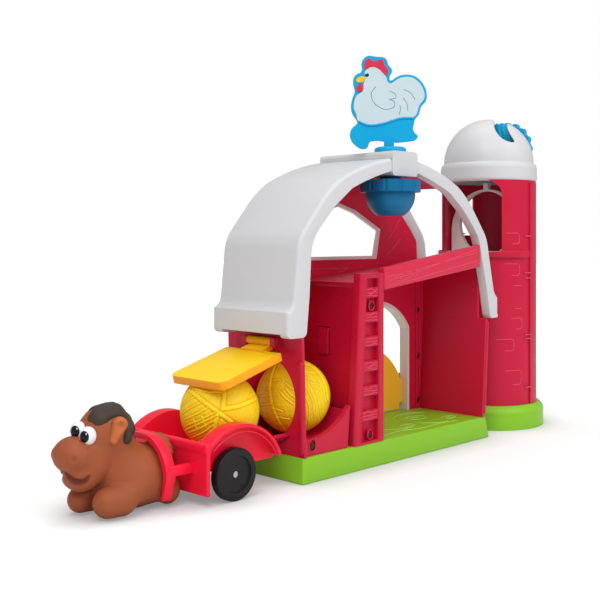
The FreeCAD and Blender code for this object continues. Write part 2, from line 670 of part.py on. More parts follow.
# Side walls lean outwards a little; each ends in a tongue that stands inside the roof.
left_wall = new_body("left_wall_body")
pad(left_wall, "left_sheet", "XZ_Plane", front_y, "barn_depth - facade_thick", [
    ("left_foot_x", "base_height"),
    ("left_foot_x + wall_thick", "base_height"),
    ("left_top_x + wall_thick", "wall_top"),
    ("left_top_x", "wall_top"),
])
pad(left_wall, "left_tongue", "XZ_Plane", f"{front_y} + near_arch + fit_gap", (
    "barn_depth - facade_thick - near_arch - 2 * fit_gap"), rectangle(
    "left_top_x", "left_top_x + wall_thick", "wall_top", "upstand_left"))
for index, start in enumerate(("flap_barrel_y - fit_gap - flap_lug_width",
                               "flap_barrel_y + flap_barrel_length + fit_gap")):
    pad(left_wall, f"flap_lug_{index}", "XZ_Plane", start, "flap_lug_width", [
        ("flap_hinge_x - flap_barrel_radius", "flap_hinge_z - flap_barrel_radius"),
        ("left_top_x + wall_thick / 2", "flap_hinge_z - 2 * flap_barrel_radius"),
        ("left_top_x + wall_thick / 2", "flap_hinge_z + flap_barrel_radius"),
        ("flap_hinge_x - flap_barrel_radius", "flap_hinge_z + flap_barrel_radius"),
    ])
pocket(left_wall, "exit_hole", "YZ_Plane", "left_top_x - 1", "2 * wall_thick + 4", [
    ("ball_path_y", "exit_z", "exit_radius"),
])
notch_angles = ("-spout_half_angle", "-spout_half_angle / 2", "0", "spout_half_angle / 2", "spout_half_angle")
notch_radius = "(ramp_radius + ramp_thick + fit_gap) / cos(spout_half_angle / 4 * 1deg)"
pocket(left_wall, "spout_notch", "YZ_Plane", "left_top_x - 1", "2 * wall_thick + 4", [
    ("ball_path_y", "exit_z"),
    *[(f"ball_path_y + {notch_radius} * sin(({angle}) * 1deg)",
       f"exit_z - {notch_radius} * cos(({angle}) * 1deg)") for angle in notch_angles],
])
pocket(left_wall, "flap_pin_bore", "XZ_Plane", "flap_barrel_y - 2 * flap_lug_width", (
    "flap_barrel_length + 4 * flap_lug_width"), [
    ("flap_hinge_x", "flap_hinge_z", "hinge_pin_radius + pin_clearance"),
])
node("left_wall", left_wall)

right_wall = new_body("right_wall_body")
pad(right_wall, "right_sheet", "XZ_Plane", front_y, "barn_depth - facade_thick", [
    ("right_foot_x - wall_thick", "base_height"),
    ("right_foot_x", "base_height"),
    ("right_top_x", "wall_top"),
    ("right_top_x - wall_thick", "wall_top"),
])
pad(right_wall, "right_tongue", "XZ_Plane", f"{front_y} + near_arch + fit_gap", (
    "barn_depth - facade_thick - near_arch - 2 * fit_gap"), rectangle(
    "right_top_x - wall_thick", "right_top_x", "wall_top", "upstand_right"))
node("right_wall", right_wall)


OUTER_STEPS = 7


def roof_side(side, grow=0.0):
    """One half of the arch outline, from the ridge down the outside and back up the inside."""
    def point(distance, height):
        return (size("roof_x") + side * distance, height)
    corner = size("eave_corner")
    bend = corner * (1 - math.sqrt(0.5))
    low = size("eave_low_z")
    arch_mid = (size("arch_knee_dx") + size("arch_hip_dx")) / 2
    arch_mid_z = (size("arch_knee_z") + size("arch_hip_z")) / 2 + size("near_arch") / 8
    crown_mid = size("arch_slope_dx") / 2
    crown_mid_z = (size("arch_slope_z") + size("ridge_in_z")) / 2 + size("near_arch") / 4
    flare_mid = (size("leg_dx") + size("eave_dx")) / 2 - bend
    flare_mid_z = (size("leg_z") + size("eave_z")) / 2 - bend
    return [
        (point(size("slope_mid_dx"), size("slope_mid_z")), point(size("slope_dx"), size("slope_z"))),
        (point(size("hip_mid_dx"), size("hip_mid_z")), point(size("hip_dx"), size("hip_z"))),
        point(size("knee_dx"), size("knee_z")),
        point(size("leg_dx"), size("leg_z")),
        (point(flare_mid, flare_mid_z), point(size("eave_dx"), size("eave_z"))),
        point(size("eave_dx"), low + corner),
        (point(size("eave_dx") - bend, low + bend), point(size("eave_dx") - corner, low)),
        point(size("arch_foot_dx") - grow, low),
        point(size("arch_low_dx") - grow, size("arch_low_z")),
        point(size("arch_knee_dx") - grow, size("arch_knee_z")),
        (point(arch_mid - grow, arch_mid_z - grow / 2), point(size("arch_hip_dx") - grow, size("arch_hip_z") - grow / 2)),
        point(size("arch_slope_dx"), size("arch_slope_z") - grow),
        (point(crown_mid, crown_mid_z - grow), point(0, size("ridge_in_z") - grow)),
    ]


def backwards(start, steps):
    """The same outline walked the other way: its steps from the last point to the start."""
    points = [start] + [step[1] if isinstance(step[0], tuple) else step for step in steps]
    result = []
    for index in range(len(steps) - 1, -1, -1):
        there = points[index]
        result.append((steps[index][0], there) if isinstance(steps[index][0], tuple) else there)
    return result


def arch_face(y, grow=0.0):
    """The gambrel arch as a flat face at one place along Y."""
    top = (size("roof_x"), size("ridge_z"))
    left_back = backwards(top, roof_side(-1, grow))
    return trace(lambda x, z: vec(x, y, z), top, *roof_side(1, grow), *left_back)


def under_roof(y):
    """All that lies under the roof's outer line, as a flat face."""
    top = (size("roof_x"), size("ridge_z"))
    return trace(lambda x, z: vec(x, y, z), top, *roof_side(1)[:OUTER_STEPS],
                 (size("roof_x") - size("eave_dx") + size("eave_corner"), size("eave_low_z")),
                 *backwards(top, roof_side(-1)[:OUTER_STEPS]))


def roof_layer(y_low, y_high, outside, thick, low_z):
    """A sheet that follows the roof line, so far inside it and so thick, left of the strip's edge."""
    face = under_roof(y_low)
    outer = face.makeOffset2D(-outside, join=2) if outside > 0 else face
    inner = face.makeOffset2D(-outside - thick, join=2)
    sheet_solid = slab(outer.cut(inner), vec(0, y_high - y_low, 0))
    span = size("eave_dx") + size("roof_x") * 2 + size("base_length")
    left_x = size("roof_x") - size("eave_dx") - 1
    room = Part.makeBox(
        size("roof_x") + size("strip_dx") - left_x, y_high - y_low, span, vec(left_x, y_low, low_z))
    return sheet_solid.common(room)


# White roof: an arch at each end and a sheet over the left side and the ridge.
sheet_low_y = FRONT_Y + size("near_arch")
near_arch = slab(arch_face(FRONT_Y), vec(0, size("near_arch"), 0))
far_arch = slab(arch_face(FACADE_IN), vec(0, size("facade_thick"), 0))
roof_sheet = roof_layer(sheet_low_y, FACADE_IN, 0, size("skin_thick"), size("eave_skin_z"))


spindle_hole = Part.makeCylinder(
    size("spindle_radius") + 2, size("cap_top") - size("cap_block_low") + 20,
    vec(size("roof_x"), size("vane_y"), size("cap_block_low") - 10))
roof_shell = near_arch.fuse([far_arch, roof_sheet]).removeSplitter().cut(spindle_hole)
node("roof_shell", keep("roof_shell_solid", roof_shell))

# Red lining under the sheet.
lining_low_y = sheet_low_y + size("fit_gap")
lining_high_y = FACADE_IN - size("fit_gap")
lining_out = size("skin_thick") + size("lining_gap")
lining = roof_layer(lining_low_y, lining_high_y, lining_out, size("lining_thick"), size("upstand_left") + 3)
roof_lining = lining.removeSplitter().cut(spindle_hole)
node("roof_lining", keep("roof_lining_solid", roof_lining))

def soft_box(x_half, y_low, y_high, z_low, z_high, corner):
    """A bar along Y about the roof's middle, with four rounded edges."""
    bend = corner * (1 - math.sqrt(0.5))
    steps = []
    for x_side, z_end, z_turn in ((1, z_low, 1), (1, z_high, -1), (-1, z_high, -1), (-1, z_low, 1)):
        beside = (x_side * (x_half - corner), z_end)
        middle = (x_side * (x_half - bend), z_end + z_turn * bend)
        upright = (x_side * x_half, z_end + z_turn * corner)
        first, last = (beside, upright) if x_side * z_turn > 0 else (upright, beside)
        steps += [first, (middle, last)]
    face = trace(lambda x, z: vec(size("roof_x") + x, y_low, z), *steps)
    return slab(face, vec(0, y_high - y_low, 0))


# Ridge cap: a strip along the ridge that ends in a block hanging over the near arch.
cap_far_y = FRONT_Y + size("barn_depth") + 1
cap_strip = soft_box(
    size("cap_half"), FRONT_Y - 1, cap_far_y, size("cap_top") - 3 * size("cap_corner"), size("cap_top"), size("cap_corner"))
cap_block = soft_box(
    size("cap_block_half"), FRONT_Y - 1, FRONT_Y - 1 + size("cap_block_length"), size("cap_block_low"),
    size("cap_top"), size("cap_corner"))
cap_bore = Part.makeCylinder(
    size("spindle_radius") + size("pin_clearance"), size("cap_top") - size("cap_block_low") + 2,
    vec(size("roof_x"), size("vane_y"), size("cap_block_low") - 1))
roof_room = roof_shell.fuse(roof_lining).fuse(Part.makeCylinder(
    size("spindle_radius") + 2, size("lining_thick") + size("skin_thick") + 1,
    vec(size("roof_x"), size("vane_y"), size("ridge_z") - lining_out - size("lining_thick"))))
cap_sleeve = Part.makeCylinder(
    size("spindle_radius") + 1.6, size("cap_top") - size("cap_block_low"),
    vec(size("roof_x"), size("vane_y"), size("cap_block_low")))
ridge_cap = cap_strip.fuse(cap_block).removeSplitter().cut(roof_room).fuse(cap_sleeve).cut(cap_bore)
node("ridge_cap", keep("ridge_cap_solid", ridge_cap.removeSplitter()))


def window_face(y, grow):
    """The house-shaped loft window, as large as its trim's inside plus grow."""
    x = size("roof_x")
    low = size("window_sill_z") - grow
    slope = size("window_shoulder_z") + grow * 0.5
    return trace(
        lambda a, b: vec(x + a, y, b),
        (-size("window_half_low") - grow, low), (size("window_half_low") + grow, low),
        (size("window_half") + grow, slope),
        (size("window_eave_dx") + grow * 0.4, size("window_eave_z") + grow),
        (0, size("window_peak_z") + grow),
        (-size("window_eave_dx") - grow * 0.4, size("window_eave_z") + grow),
        (-size("window_half") - grow, slope))


def doorway_face(y, grow):
    """The doorway, down to the base, with rounded slopes."""
    x = size("door_x")
    low = size("base_height")
    slope = size("door_shoulder_z") + grow * 0.5
    bend = (size("door_bend_dx") + grow * 0.8, size("door_bend_z") + grow * 0.8)
    eave = (size("door_eave_dx") + grow * 0.4, size("door_eave_z") + grow)
    return trace(
        lambda a, b: vec(x + a, y, b),
        (-size("door_half") - grow, low), (size("door_half") + grow, low),
        (size("door_half") + grow, slope), (bend, eave),
        (0, size("door_peak_z") + grow),
        (-eave[0], eave[1]), ((-bend[0], bend[1]), (-size("door_half") - grow, slope)))


# Door wall: it fills the far arch, with a thin web between deep rims, and its openings are trimmed in white.
def largest(shape):
    return max(shape.Solids, key=lambda solid: solid.Volume)


facade_outline = trace(
    lambda x, z: vec(x, FACADE_IN, z),
    (size("left_foot_x"), size("base_height")), (size("right_foot_x"), size("base_height")),
    (size("right_top_x"), size("wall_top")), (size("right_top_x"), size("ridge_z")),
    (size("left_top_x"), size("ridge_z")), (size("left_top_x"), size("wall_top")))
facade_deep = vec(0, size("facade_thick"), 0)
arch_room = slab(arch_face(FACADE_IN, size("fit_gap")), facade_deep)
facade = largest(slab(facade_outline, facade_deep).common(slab(under_roof(FACADE_IN), facade_deep)
                 .fuse(slab(facade_outline, facade_deep).common(Part.makeBox(
                     2 * size("base_length"), size("facade_thick"), size("wall_top") - size("base_height"),
                     vec(-size("base_length"), FACADE_IN, size("base_height")))))).cut(arch_room))
rim = size("facade_web")
face_of_facade = max(
    (face for face in facade.Faces if abs(face.normalAt(0, 0).y + 1) < 1e-6), key=lambda face: face.Area)
sunk = face_of_facade.makeOffset2D(-rim, join=2)
sunk = slab(sunk, vec(0, size("facade_thick"), 0))
sunk.translate(vec(0, size("facade_web"), 0))
trim_out = size("trim_width")
sunk = sunk.cut(slab(doorway_face(FACADE_IN, trim_out + rim), facade_deep * 3))
flange_left_x = size("right_foot_x") - size("wall_thick") - size("fit_gap") - size("flange_width") / 2
flange_top_z = size("loft_right_z") - size("loft_thick") - size("flange_thick") - size("base_wall") / 2
flange_y = FACADE_IN - size("flange_thick")
corner_flange = slab(trace(
    lambda x, z: vec(x, flange_y, z),
    (flange_left_x, size("base_height")),
    (size("right_foot_x") - size("wall_thick") - size("fit_gap"), size("base_height")),
    (size("right_top_x") - size("wall_thick") - size("fit_gap"), size("wall_top")),
    (size("right_top_x") - size("wall_thick") - size("fit_gap"), flange_top_z),
    (flange_left_x, flange_top_z)), vec(0, size("flange_thick"), 0))
facade = facade.cut(sunk).fuse(corner_flange)
for opening in (window_face, doorway_face):
    facade = facade.cut(slab(opening(FACADE_IN - 1, trim_out), facade_deep * 2))

lug_solids = []
for side in (-1, 1):
    axis_x = size("door_x") + side * size("door_half")
    for low_z in (size("lug_low_z"), size("lug_low_z") + size("lug_height") + size("barrel_height") + 2 * size("leaf_gap")):
        near_x = axis_x - side * size("hinge_radius")
        far_x = axis_x + side * size("lug_reach")
        lug_solids.append(Part.makeBox(
            abs(far_x - near_x), size("hinge_out") + size("hinge_radius"), size("lug_height"),
            vec(min(near_x, far_x), FACADE_OUT, low_z)))
facade = facade.fuse(lug_solids)
pin_bores = []
pins = []
PIN_LENGTH = 2 * size("lug_height") + size("barrel_height") + 2 * size("leaf_gap")
for side in (-1, 1):
    foot = vec(size("door_x") + side * size("door_half"), FACADE_OUT + size("hinge_out"), size("lug_low_z"))
    pin_bores.append(Part.makeCylinder(size("hinge_pin_radius"), PIN_LENGTH, foot))
    pins.append(Part.makeCylinder(size("hinge_pin_radius"), PIN_LENGTH, foot))
facade = facade.cut(pin_bores)
node("front_wall", keep("front_wall_solid", facade))
node("door_pins", keep("door_pins_solid", Part.makeCompound(pins)))
for name, opening, depth in (
        ("window_trim", window_face, size("window_trim_depth")), ("door_trim", doorway_face, size("facade_thick"))):
    trim = slab(opening(FACADE_IN, trim_out), vec(0, depth, 0)).cut(slab(opening(FACADE_IN - 1, 0), facade_deep * 2))
    node(name, keep(f"{name}_solid", trim.cut(lug_solids)))

# Pair of half doors under one round top, each on its own barrel.
leaf_out_y = f"({facade_out} - leaf_back)"
leaf_in_y = f"({facade_out} - leaf_back - leaf_thick)"
hinge_y = f"({facade_out} + hinge_out)"
barrel_low_z = "(lug_low_z + lug_height + leaf_gap)"
barrel_high_z = "(lug_low_z + lug_height + leaf_gap + barrel_height)"
for side, name in ((-1, "left_door"), (1, "right_door")):
    axis_x = f"(door_x + {side} * door_half)"
    edge_x = f"(door_x + {side} * (door_half - leaf_gap))"
    middle_x = f"(door_x + {side} * leaf_gap)"
    low_x, high_x = (edge_x, middle_x) if side < 0 else (middle_x, edge_x)
    panel = block(f"{name}_panel", (low_x, leaf_in_y, "leaf_low_z"), (high_x, leaf_out_y, "leaf_arc_z + leaf_arc_radius"))
    round_top = rod(f"{name}_round", "leaf_arc_radius", "leaf_thick", ("door_x", leaf_in_y, "leaf_arc_z"), "y")
    arched = doc.addObject("Part::Common", f"{name}_arched")
    arched.Base = panel
    arched.Tool = round_top
    notch_x = f"(door_x + {side} * (door_half - 2 * hinge_radius))"
    past_x = f"(door_x + {side} * (door_half + hinge_radius))"
    low_x, high_x = (past_x, notch_x) if side < 0 else (notch_x, past_x)
    low_notch = block(f"{name}_low_notch", (low_x, front_y, "0"), (high_x, "base_width", barrel_low_z))
    high_notch = block(f"{name}_high_notch", (low_x, front_y, barrel_high_z), (high_x, "base_width", "ridge_z"))
    web_x = f"(door_x + {side} * (door_half - hinge_radius))"
    low_x, high_x = (axis_x, web_x) if side < 0 else (web_x, axis_x)
    web = block(f"{name}_web", (low_x, leaf_in_y, barrel_low_z), (high_x, hinge_y, barrel_high_z))
    barrel = rod(f"{name}_barrel", "hinge_radius", "barrel_height", (axis_x, hinge_y, barrel_low_z))
    bore = rod(f"{name}_bore", "hinge_pin_radius + pin_clearance", "barrel_height", (axis_x, hinge_y, barrel_low_z))
    notched = cut(f"{name}_notched", arched, low_notch, high_notch)
    trimmed_edge = block(
        f"{name}_edge", (axis_x if side > 0 else past_x, front_y, "0"),
        (past_x if side > 0 else axis_x, f"{facade_out}", "ridge_z"))
    solid = cut(f"{name}_solid", cut(f"{name}_cut", fuse(f"{name}_fuse", notched, web, barrel), bore), trimmed_edge)
    node(name, solid)

# Ladder tower: a closed frame with rungs at the open side and two walls back to the door wall.
def frame_edge(side, height):
    """The ladder frame's edge at one height, as an expression."""
    foot, top = f"frame_{side}_foot_x", f"frame_{side}_top_x"
    return f"({foot} + ({top} - {foot}) * (({height}) - base_height) / (tower_top - base_height))"


tower = new_body("ladder_tower_body")
pad(tower, "tower_frame", "XZ_Plane", front_y, "rail_depth", [
    ("frame_left_foot_x", "base_height"),
    ("frame_right_foot_x", "base_height"),
    ("frame_right_top_x", "tower_top"),
    ("frame_left_top_x", "tower_top"),
])
pocket(tower, "tower_recess", "XZ_Plane", front_y, "rail_depth - wall_thick", [
    ("frame_left_foot_x + rail_left", "base_height + rung_height / 4"),
    ("frame_right_foot_x - rail_right", "base_height + rung_height / 4"),
    ("frame_right_top_x - rail_right", "tower_top - rung_height / 2"),
    ("frame_left_top_x + rail_left", "tower_top - rung_height / 2"),
])
for index in range(int(size("rung_count"))):
    rung_low = f"(rung_first_z + {index} * rung_pitch - rung_height / 2)"
    rung_high = f"(rung_first_z + {index} * rung_pitch + rung_height / 2)"
    pad(tower, f"rung_{index}", "XZ_Plane", f"{front_y} + rung_recess", "rail_depth - rung_recess", [
        (f"{frame_edge('left', rung_low)} + rail_left / 2", rung_low),
        (f"{frame_edge('right', rung_low)} - rail_right / 2", rung_low),
        (f"{frame_edge('right', rung_high)} - rail_right / 2", rung_high),
        (f"{frame_edge('left', rung_high)} + rail_left / 2", rung_high),
    ])
inside_depth = "barn_depth - facade_thick - rail_depth"
pad(tower, "chute_wall", "XZ_Plane", f"{front_y} + rail_depth", inside_depth, [
    ("tower_left_foot_x", "base_height"),
    ("tower_left_foot_x + wall_thick", "base_height"),
    ("tower_left_top_x + wall_thick", "chute_wall_top"),
    ("tower_left_top_x", "chute_wall_top"),
])
pad(tower, "bay_wall", "XZ_Plane", f"{front_y} + rail_depth", inside_depth, [
    ("tower_right_foot_x - wall_thick", "base_height"),
    ("tower_right_foot_x", "base_height"),
    ("tower_right_top_x", "beam_left_low_z"),
    ("tower_right_top_x - wall_thick", "beam_left_low_z"),
])
trigger_x = ("(tower_left_foot_x + (tower_left_top_x - tower_left_foot_x)"
             " * (trigger_high_z - base_height) / (chute_wall_top - base_height))")
trigger_low_x = ("(tower_left_foot_x + (tower_left_top_x - tower_left_foot_x)"
                 " * (trigger_low_z - base_height) / (chute_wall_top - base_height))")
pad(tower, "switch_shelf", "XZ_Plane", "ball_path_y - trigger_width / 2", "trigger_width", rectangle(
    f"{trigger_low_x} + wall_thick / 2", f"{trigger_low_x} + wall_thick + switch_gap + switch_size",
    "trigger_low_z - 2 * wall_thick", "trigger_low_z - wall_thick"))
pocket(tower, "trigger_slot", "XZ_Plane", "ball_path_y - trigger_width / 2 - trigger_gap", (
    "trigger_width + 2 * trigger_gap"), [
    (f"{trigger_low_x} - wall_thick", "trigger_low_z - trigger_gap"),
    (f"{trigger_low_x} + wall_thick + 0.3", "trigger_low_z - trigger_gap"),
    (f"{trigger_x} + wall_thick + 0.3", "trigger_high_z + trigger_gap"),
    (f"{trigger_x} - wall_thick", "trigger_high_z + trigger_gap"),
])
pivot_x = f"({trigger_x} + wall_thick / 2)"
pivot_z = "(trigger_high_z - wall_thick / 2)"
pocket(tower, "trigger_bore", "XZ_Plane", "ball_path_y - trigger_width", "2 * trigger_width", [
    (pivot_x, pivot_z, "trigger_pin_radius + pin_clearance"),
])
node("ladder_tower", tower)

trigger = new_body("sound_trigger_body")
pad(trigger, "trigger_lever", "XZ_Plane", "ball_path_y - trigger_width / 2", "trigger_width", [
    (f"{trigger_low_x} + 0.3", "trigger_low_z"),
    (f"{trigger_low_x} + wall_thick - 0.3", "trigger_low_z"),
    (f"{trigger_x} + wall_thick - 0.3", "trigger_high_z"),
    (f"{trigger_x} + 0.3", "trigger_high_z"),
    (f"({trigger_x} + {trigger_low_x}) / 2 - trigger_proud", "(trigger_high_z + trigger_low_z) / 2"),
])
pad(trigger, "trigger_pin", "XZ_Plane", "ball_path_y - trigger_width / 2 - 2", "trigger_width + 4", [
    (pivot_x, pivot_z, "trigger_pin_radius"),
])
node("sound_trigger", trigger)
node("sound_switch", block("sound_switch_block", (
    f"{trigger_low_x} + wall_thick + switch_gap", "ball_path_y - switch_size / 2", "trigger_low_z - wall_thick"), (
    f"{trigger_low_x} + wall_thick + switch_gap + switch_size", "ball_path_y + switch_size / 2",
    "trigger_low_z - wall_thick + switch_size")))

# Loft: a sloping floor from the silo's side down to the chute, behind a beam with a plank's face.
loft = new_body("loft_floor_body")
beam_back = f"({front_y} + beam_thick)"
pad(loft, "loft_sheet", "XZ_Plane", f"{beam_back} + fit_gap", "barn_depth - facade_thick - beam_thick - fit_gap", [
    ("tower_left_top_x", "loft_left_z - loft_thick"),
    ("right_top_x - wall_thick", "loft_right_z - loft_thick"),
    ("right_top_x - wall_thick", "loft_right_z"),
    ("tower_left_top_x", "loft_left_z"),
])
pocket(loft, "loft_notch", "XZ_Plane", front_y, "near_arch + fit_gap", rectangle(
    "beam_end_x", "base_length / 2", "beam_left_low_z", "ridge_z"))
pocket(loft, "loft_rail_notch", "XZ_Plane", front_y, "rail_depth + fit_gap", rectangle(
    "frame_left_foot_x", "frame_right_top_x + fit_gap", "beam_left_low_z", "ridge_z"))
node("loft_floor", loft)
beam = new_body("loft_beam_body")
pad(beam, "beam_plank", "XZ_Plane", front_y, "beam_thick", [
    ("frame_right_top_x + fit_gap", "beam_left_low_z"),
    ("beam_end_x", "beam_right_low_z"),
    ("beam_end_x", "beam_right_top_z"),
    ("frame_right_top_x + fit_gap", (
        "beam_left_top_z + (beam_right_top_z - beam_left_top_z) * (frame_right_top_x - frame_left_top_x)"
        " / (beam_end_x - frame_left_top_x)")),
])
node("loft_beam", beam)

# Ramp: a bent sheet that turns the falling ball towards the round opening, its spout and its front web.
ramp_in = size("ramp_radius")
ramp_out = ramp_in + size("ramp_thick")
ramp_start_y = FRONT_Y + size("rail_depth") + size("fit_gap")
web_y = FRONT_Y + size("ramp_thick")
ramp_right_x = size("tower_left_foot_x") - size("fit_gap")
drop = ramp_right_x - size("ramp_x")


def bend_point(radius, share):
    """A point on the bend, from its lowest point to the tower."""
    angle = share * math.asin(drop / radius)
    return (size("ramp_x") + radius * math.sin(angle), size("exit_z") - radius * math.cos(angle))


left_inside = size("left_foot_x") + size("wall_thick") + size("fit_gap")
ramp_face = trace(
    lambda x, z: vec(x, ramp_start_y, z),
    (left_inside, size("exit_z") - ramp_in), (size("ramp_x"), size("exit_z") - ramp_in),
    (bend_point(ramp_in, 0.5), bend_point(ramp_in, 1)),
    bend_point(ramp_out, 1),
    (bend_point(ramp_out, 0.5), (size("ramp_x"), size("exit_z") - ramp_out)),
    (left_inside, size("exit_z") - ramp_out))
ramp = slab(ramp_face, vec(0, FACADE_IN - ramp_start_y, 0))
rail_foot_x = number(frame_edge("left", "base_height")) - size("fit_gap")
rail_web_x = number(frame_edge("left", "ramp_web_high_z")) - size("fit_gap")
web_face = trace(
    lambda x, z: vec(x, web_y, z),
    (left_inside, size("base_height")), (rail_foot_x, size("base_height")),
    (rail_web_x, size("ramp_web_high_z")),
    ((size("ramp_web_mid_x"), size("ramp_web_mid_z")), (left_inside, size("ramp_web_low_z"))))
front_web = slab(web_face, vec(0, ramp_start_y - web_y + size("ramp_thick"), 0))
frame_room = Part.makeBox(
    size("base_length"), size("ball_radius"), size("ridge_z"),
    vec(ramp_right_x, ramp_start_y - size("fit_gap"), 0))
ball_room = Part.makeCylinder(
    ramp_in, size("ball_radius"), vec(size("ramp_x"), ramp_start_y, size("exit_z")), vec(0, 1, 0))
ramp = ramp.fuse(front_web.cut([frame_room, ball_room]))
rear_face = trace(
    lambda x, z: vec(x, FACADE_IN - size("ramp_thick"), z),
    (left_inside, size("base_height")), (ramp_right_x, size("base_height")),
    (ramp_right_x, size("exit_z") - ramp_out + 1), (left_inside, size("exit_z") - ramp_out + 1))
rear_web = slab(rear_face, vec(0, size("ramp_thick"), 0))
spout_x = size("left_foot_x") - size("spout_length")
spout_reach = left_inside + size("ramp_thick") - spout_x
spout_tube = Part.makeCylinder(ramp_out, spout_reach, vec(spout_x, size("ball_path_y"), size("exit_z")), vec(1, 0, 0))
spout_tube = spout_tube.cut(Part.makeCylinder(
    ramp_in, spout_reach + 2, vec(spout_x - 1, size("ball_path_y"), size("exit_z")), vec(1, 0, 0)))
spout_turn = math.radians(size("spout_half_angle"))
spout_room = slab(trace(
    lambda y, z: vec(spout_x, size("ball_path_y") + y, size("exit_z") + z), (0, 0),
    (-2 * ramp_out * math.sin(spout_turn), -2 * ramp_out * math.cos(spout_turn)),
    (2 * ramp_out * math.sin(spout_turn), -2 * ramp_out * math.cos(spout_turn))), vec(spout_reach, 0, 0))
spout = spout_tube.common(spout_room)
ramp = ramp.fuse([rear_web, spout]).removeSplitter()
node("ramp", keep("ramp_solid", ramp))

# Balls: one at the foot of the chute, one in the cart.
node("chute_ball", ball("chute_ball_solid", "ball_radius", (
    "chute_ball_x", "ball_path_y", "exit_z - ramp_radius + ball_radius + ball_gap")))
node("cart_ball", ball("cart_ball_solid", "ball_radius", ("cart_ball_x", "cart_ball_y", "cart_ball_z")))

# Exit flap: a shallow upside-down tray on a barrel, tilted until it lies on the ball.
flap_high_y = size("flap_low_y") + size("flap_width")


def rounded_tray(inset, corner, top, low):
    """The flap's panel before it is tilted: round at its two outer corners."""
    start = -size("flap_start") - inset
    end = -size("flap_end") + inset
    y_low = size("flap_low_y") + inset
    y_high = flap_high_y - inset
    bend = corner * (1 - math.sqrt(0.5))
    face = trace(
        lambda x, y: vec(x, y, low),
        (start, y_low), (end + corner, y_low), ((end + bend, y_low + bend), (end, y_low + corner)),
        (end, y_high - corner), ((end + bend, y_high - bend), (end + corner, y_high)), (start, y_high))
    return slab(face, vec(0, 0, top - low))


flap_top = -size("flap_drop")
flap_low = flap_top - size("flap_rim")
tray = rounded_tray(0, size("flap_corner"), flap_top, flap_low).cut(rounded_tray(
    size("flap_skin"), size("flap_corner") - size("flap_skin"), flap_top - size("flap_skin"), flap_low - 1))
tab_width = size("flap_barrel_length") - 3
tab_y = size("flap_barrel_y") + 1.5
tab = Part.makeBox(
    size("flap_start") + 3, tab_width, 2 * size("flap_skin"),
    vec(-size("flap_start") - 3, tab_y, flap_top - size("flap_skin")))
barrel = Part.makeCylinder(
    size("flap_barrel_radius"), size("flap_barrel_length"), vec(0, size("flap_barrel_y"), 0), vec(0, 1, 0))
bore = Part.makeCylinder(
    size("hinge_pin_radius") + size("pin_clearance"), size("flap_barrel_length"),
    vec(0, size("flap_barrel_y"), 0), vec(0, 1, 0))
flap = tray.fuse([tab, barrel]).cut(bore).removeSplitter()
flap.rotate(vec(0, 0, 0), vec(0, 1, 0), -size("flap_tilt"))
flap.translate(vec(size("flap_hinge_x"), 0, size("flap_hinge_z")))
node("exit_flap", keep("exit_flap_solid", flap))
node("flap_pin", rod("flap_pin_rod", "hinge_pin_radius", (
    "flap_barrel_length + 2 * flap_lug_width + 2 * fit_gap"), (
    "flap_hinge_x", "flap_barrel_y - fit_gap - flap_lug_width", "flap_hinge_z"), "y"))

# Weathervane above the ridge and its lobed rotor below, on one spindle.
vane_low = size("cap_top") + size("vane_flange_gap")
vane_plate_low = vane_low + size("vane_flange_thick")


ROOSTER_EDGE = [
    (-25.7, 73.5), (-24.2, 78.5), (-19.9, 81.3), (-15.6, 80.9), (-9.9, 80.3), (-5.6, 79.6), (-3.2, 77),
    (-2.2, 73.5), (0.8, 69.9), (1.1, 66.3), (-1, 62.3), (-0.3, 59.4), (3.7, 61.3), (10.1, 64.2), (15.8, 64.6),
    (22.3, 62.7), (28, 57.7), (31.6, 50.6), (32.3, 44.9), (30.8, 39.9), (27.3, 36), (26.1, 32), (24.4, 27.7),
    (22, 24.9), (20.8, 20.6), (20.1, 17), (21.5, 12.7), (24.2, 9.8), (23, 7), (18.7, 5.5), (10.8, 4.5), (3, 4.3),
    (-5.6, 5.2), (-15, 5.6), (-18.8, 4.2), (-20.2, 0.2), (-23.5, -1.6), (-28.5, -0.2), (-33.5, 4.1), (-35.9, 9.1),
    (-35.7, 14.1), (-32.8, 18.4), (-29.5, 21.8), (-32.1, 27), (-34.9, 33.4), (-34.9, 39.2), (-33.5, 44.9),
    (-31.8, 50.6), (-32.8, 54.9), (-33.2, 59.2), (-32.4, 62.7), (-29.2, 65.4), (-26.2, 67), (-25.4, 69.6),
]
ROOSTER_BODY = [
    (-28.5, 23), (-22.8, 20.8), (-19.9, 20.1), (-9.9, 20.8), (1.5, 24.1), (10.1, 26.4), (21.6, 27.4), (24, 31.5),
    (25.2, 36.4), (28.7, 41), (30.2, 45), (29.5, 50), (26.3, 56.3), (21.2, 60.8), (15.6, 62.5), (10.6, 62.1),
    (4.6, 59.4), (0.2, 56.9), (-2.3, 57.6), (-3.4, 60.6), (-4.6, 63.2), (-6.6, 65.6), (-9.9, 69.3), (-14.2, 71.4),
    (-18.5, 71.2), (-21.4, 69.3), (-23, 66.8), (-23, 63.6), (-22.6, 60.2), (-24, 57), (-24.2, 53.5), (-25, 49.8),
    (-28, 47.6), (-30.6, 45.4), (-32.6, 40), (-32.7, 34), (-30.4, 28),
]
ROOSTER_COMB = [
    (-23.5, 70.6), (-23.1, 74.9), (-21.4, 77.8), (-18.5, 78.5), (-16.4, 77), (-12.8, 76.5), (-8.5, 77.8),
    (-6.3, 76.3), (-5.3, 72.8), (-2.8, 69.9), (-2.3, 66.3), (-4.2, 63.9), (-6.3, 65.3), (-9.9, 69), (-14.2, 71),
    (-18.5, 70.8), (-21.4, 69.2),
]
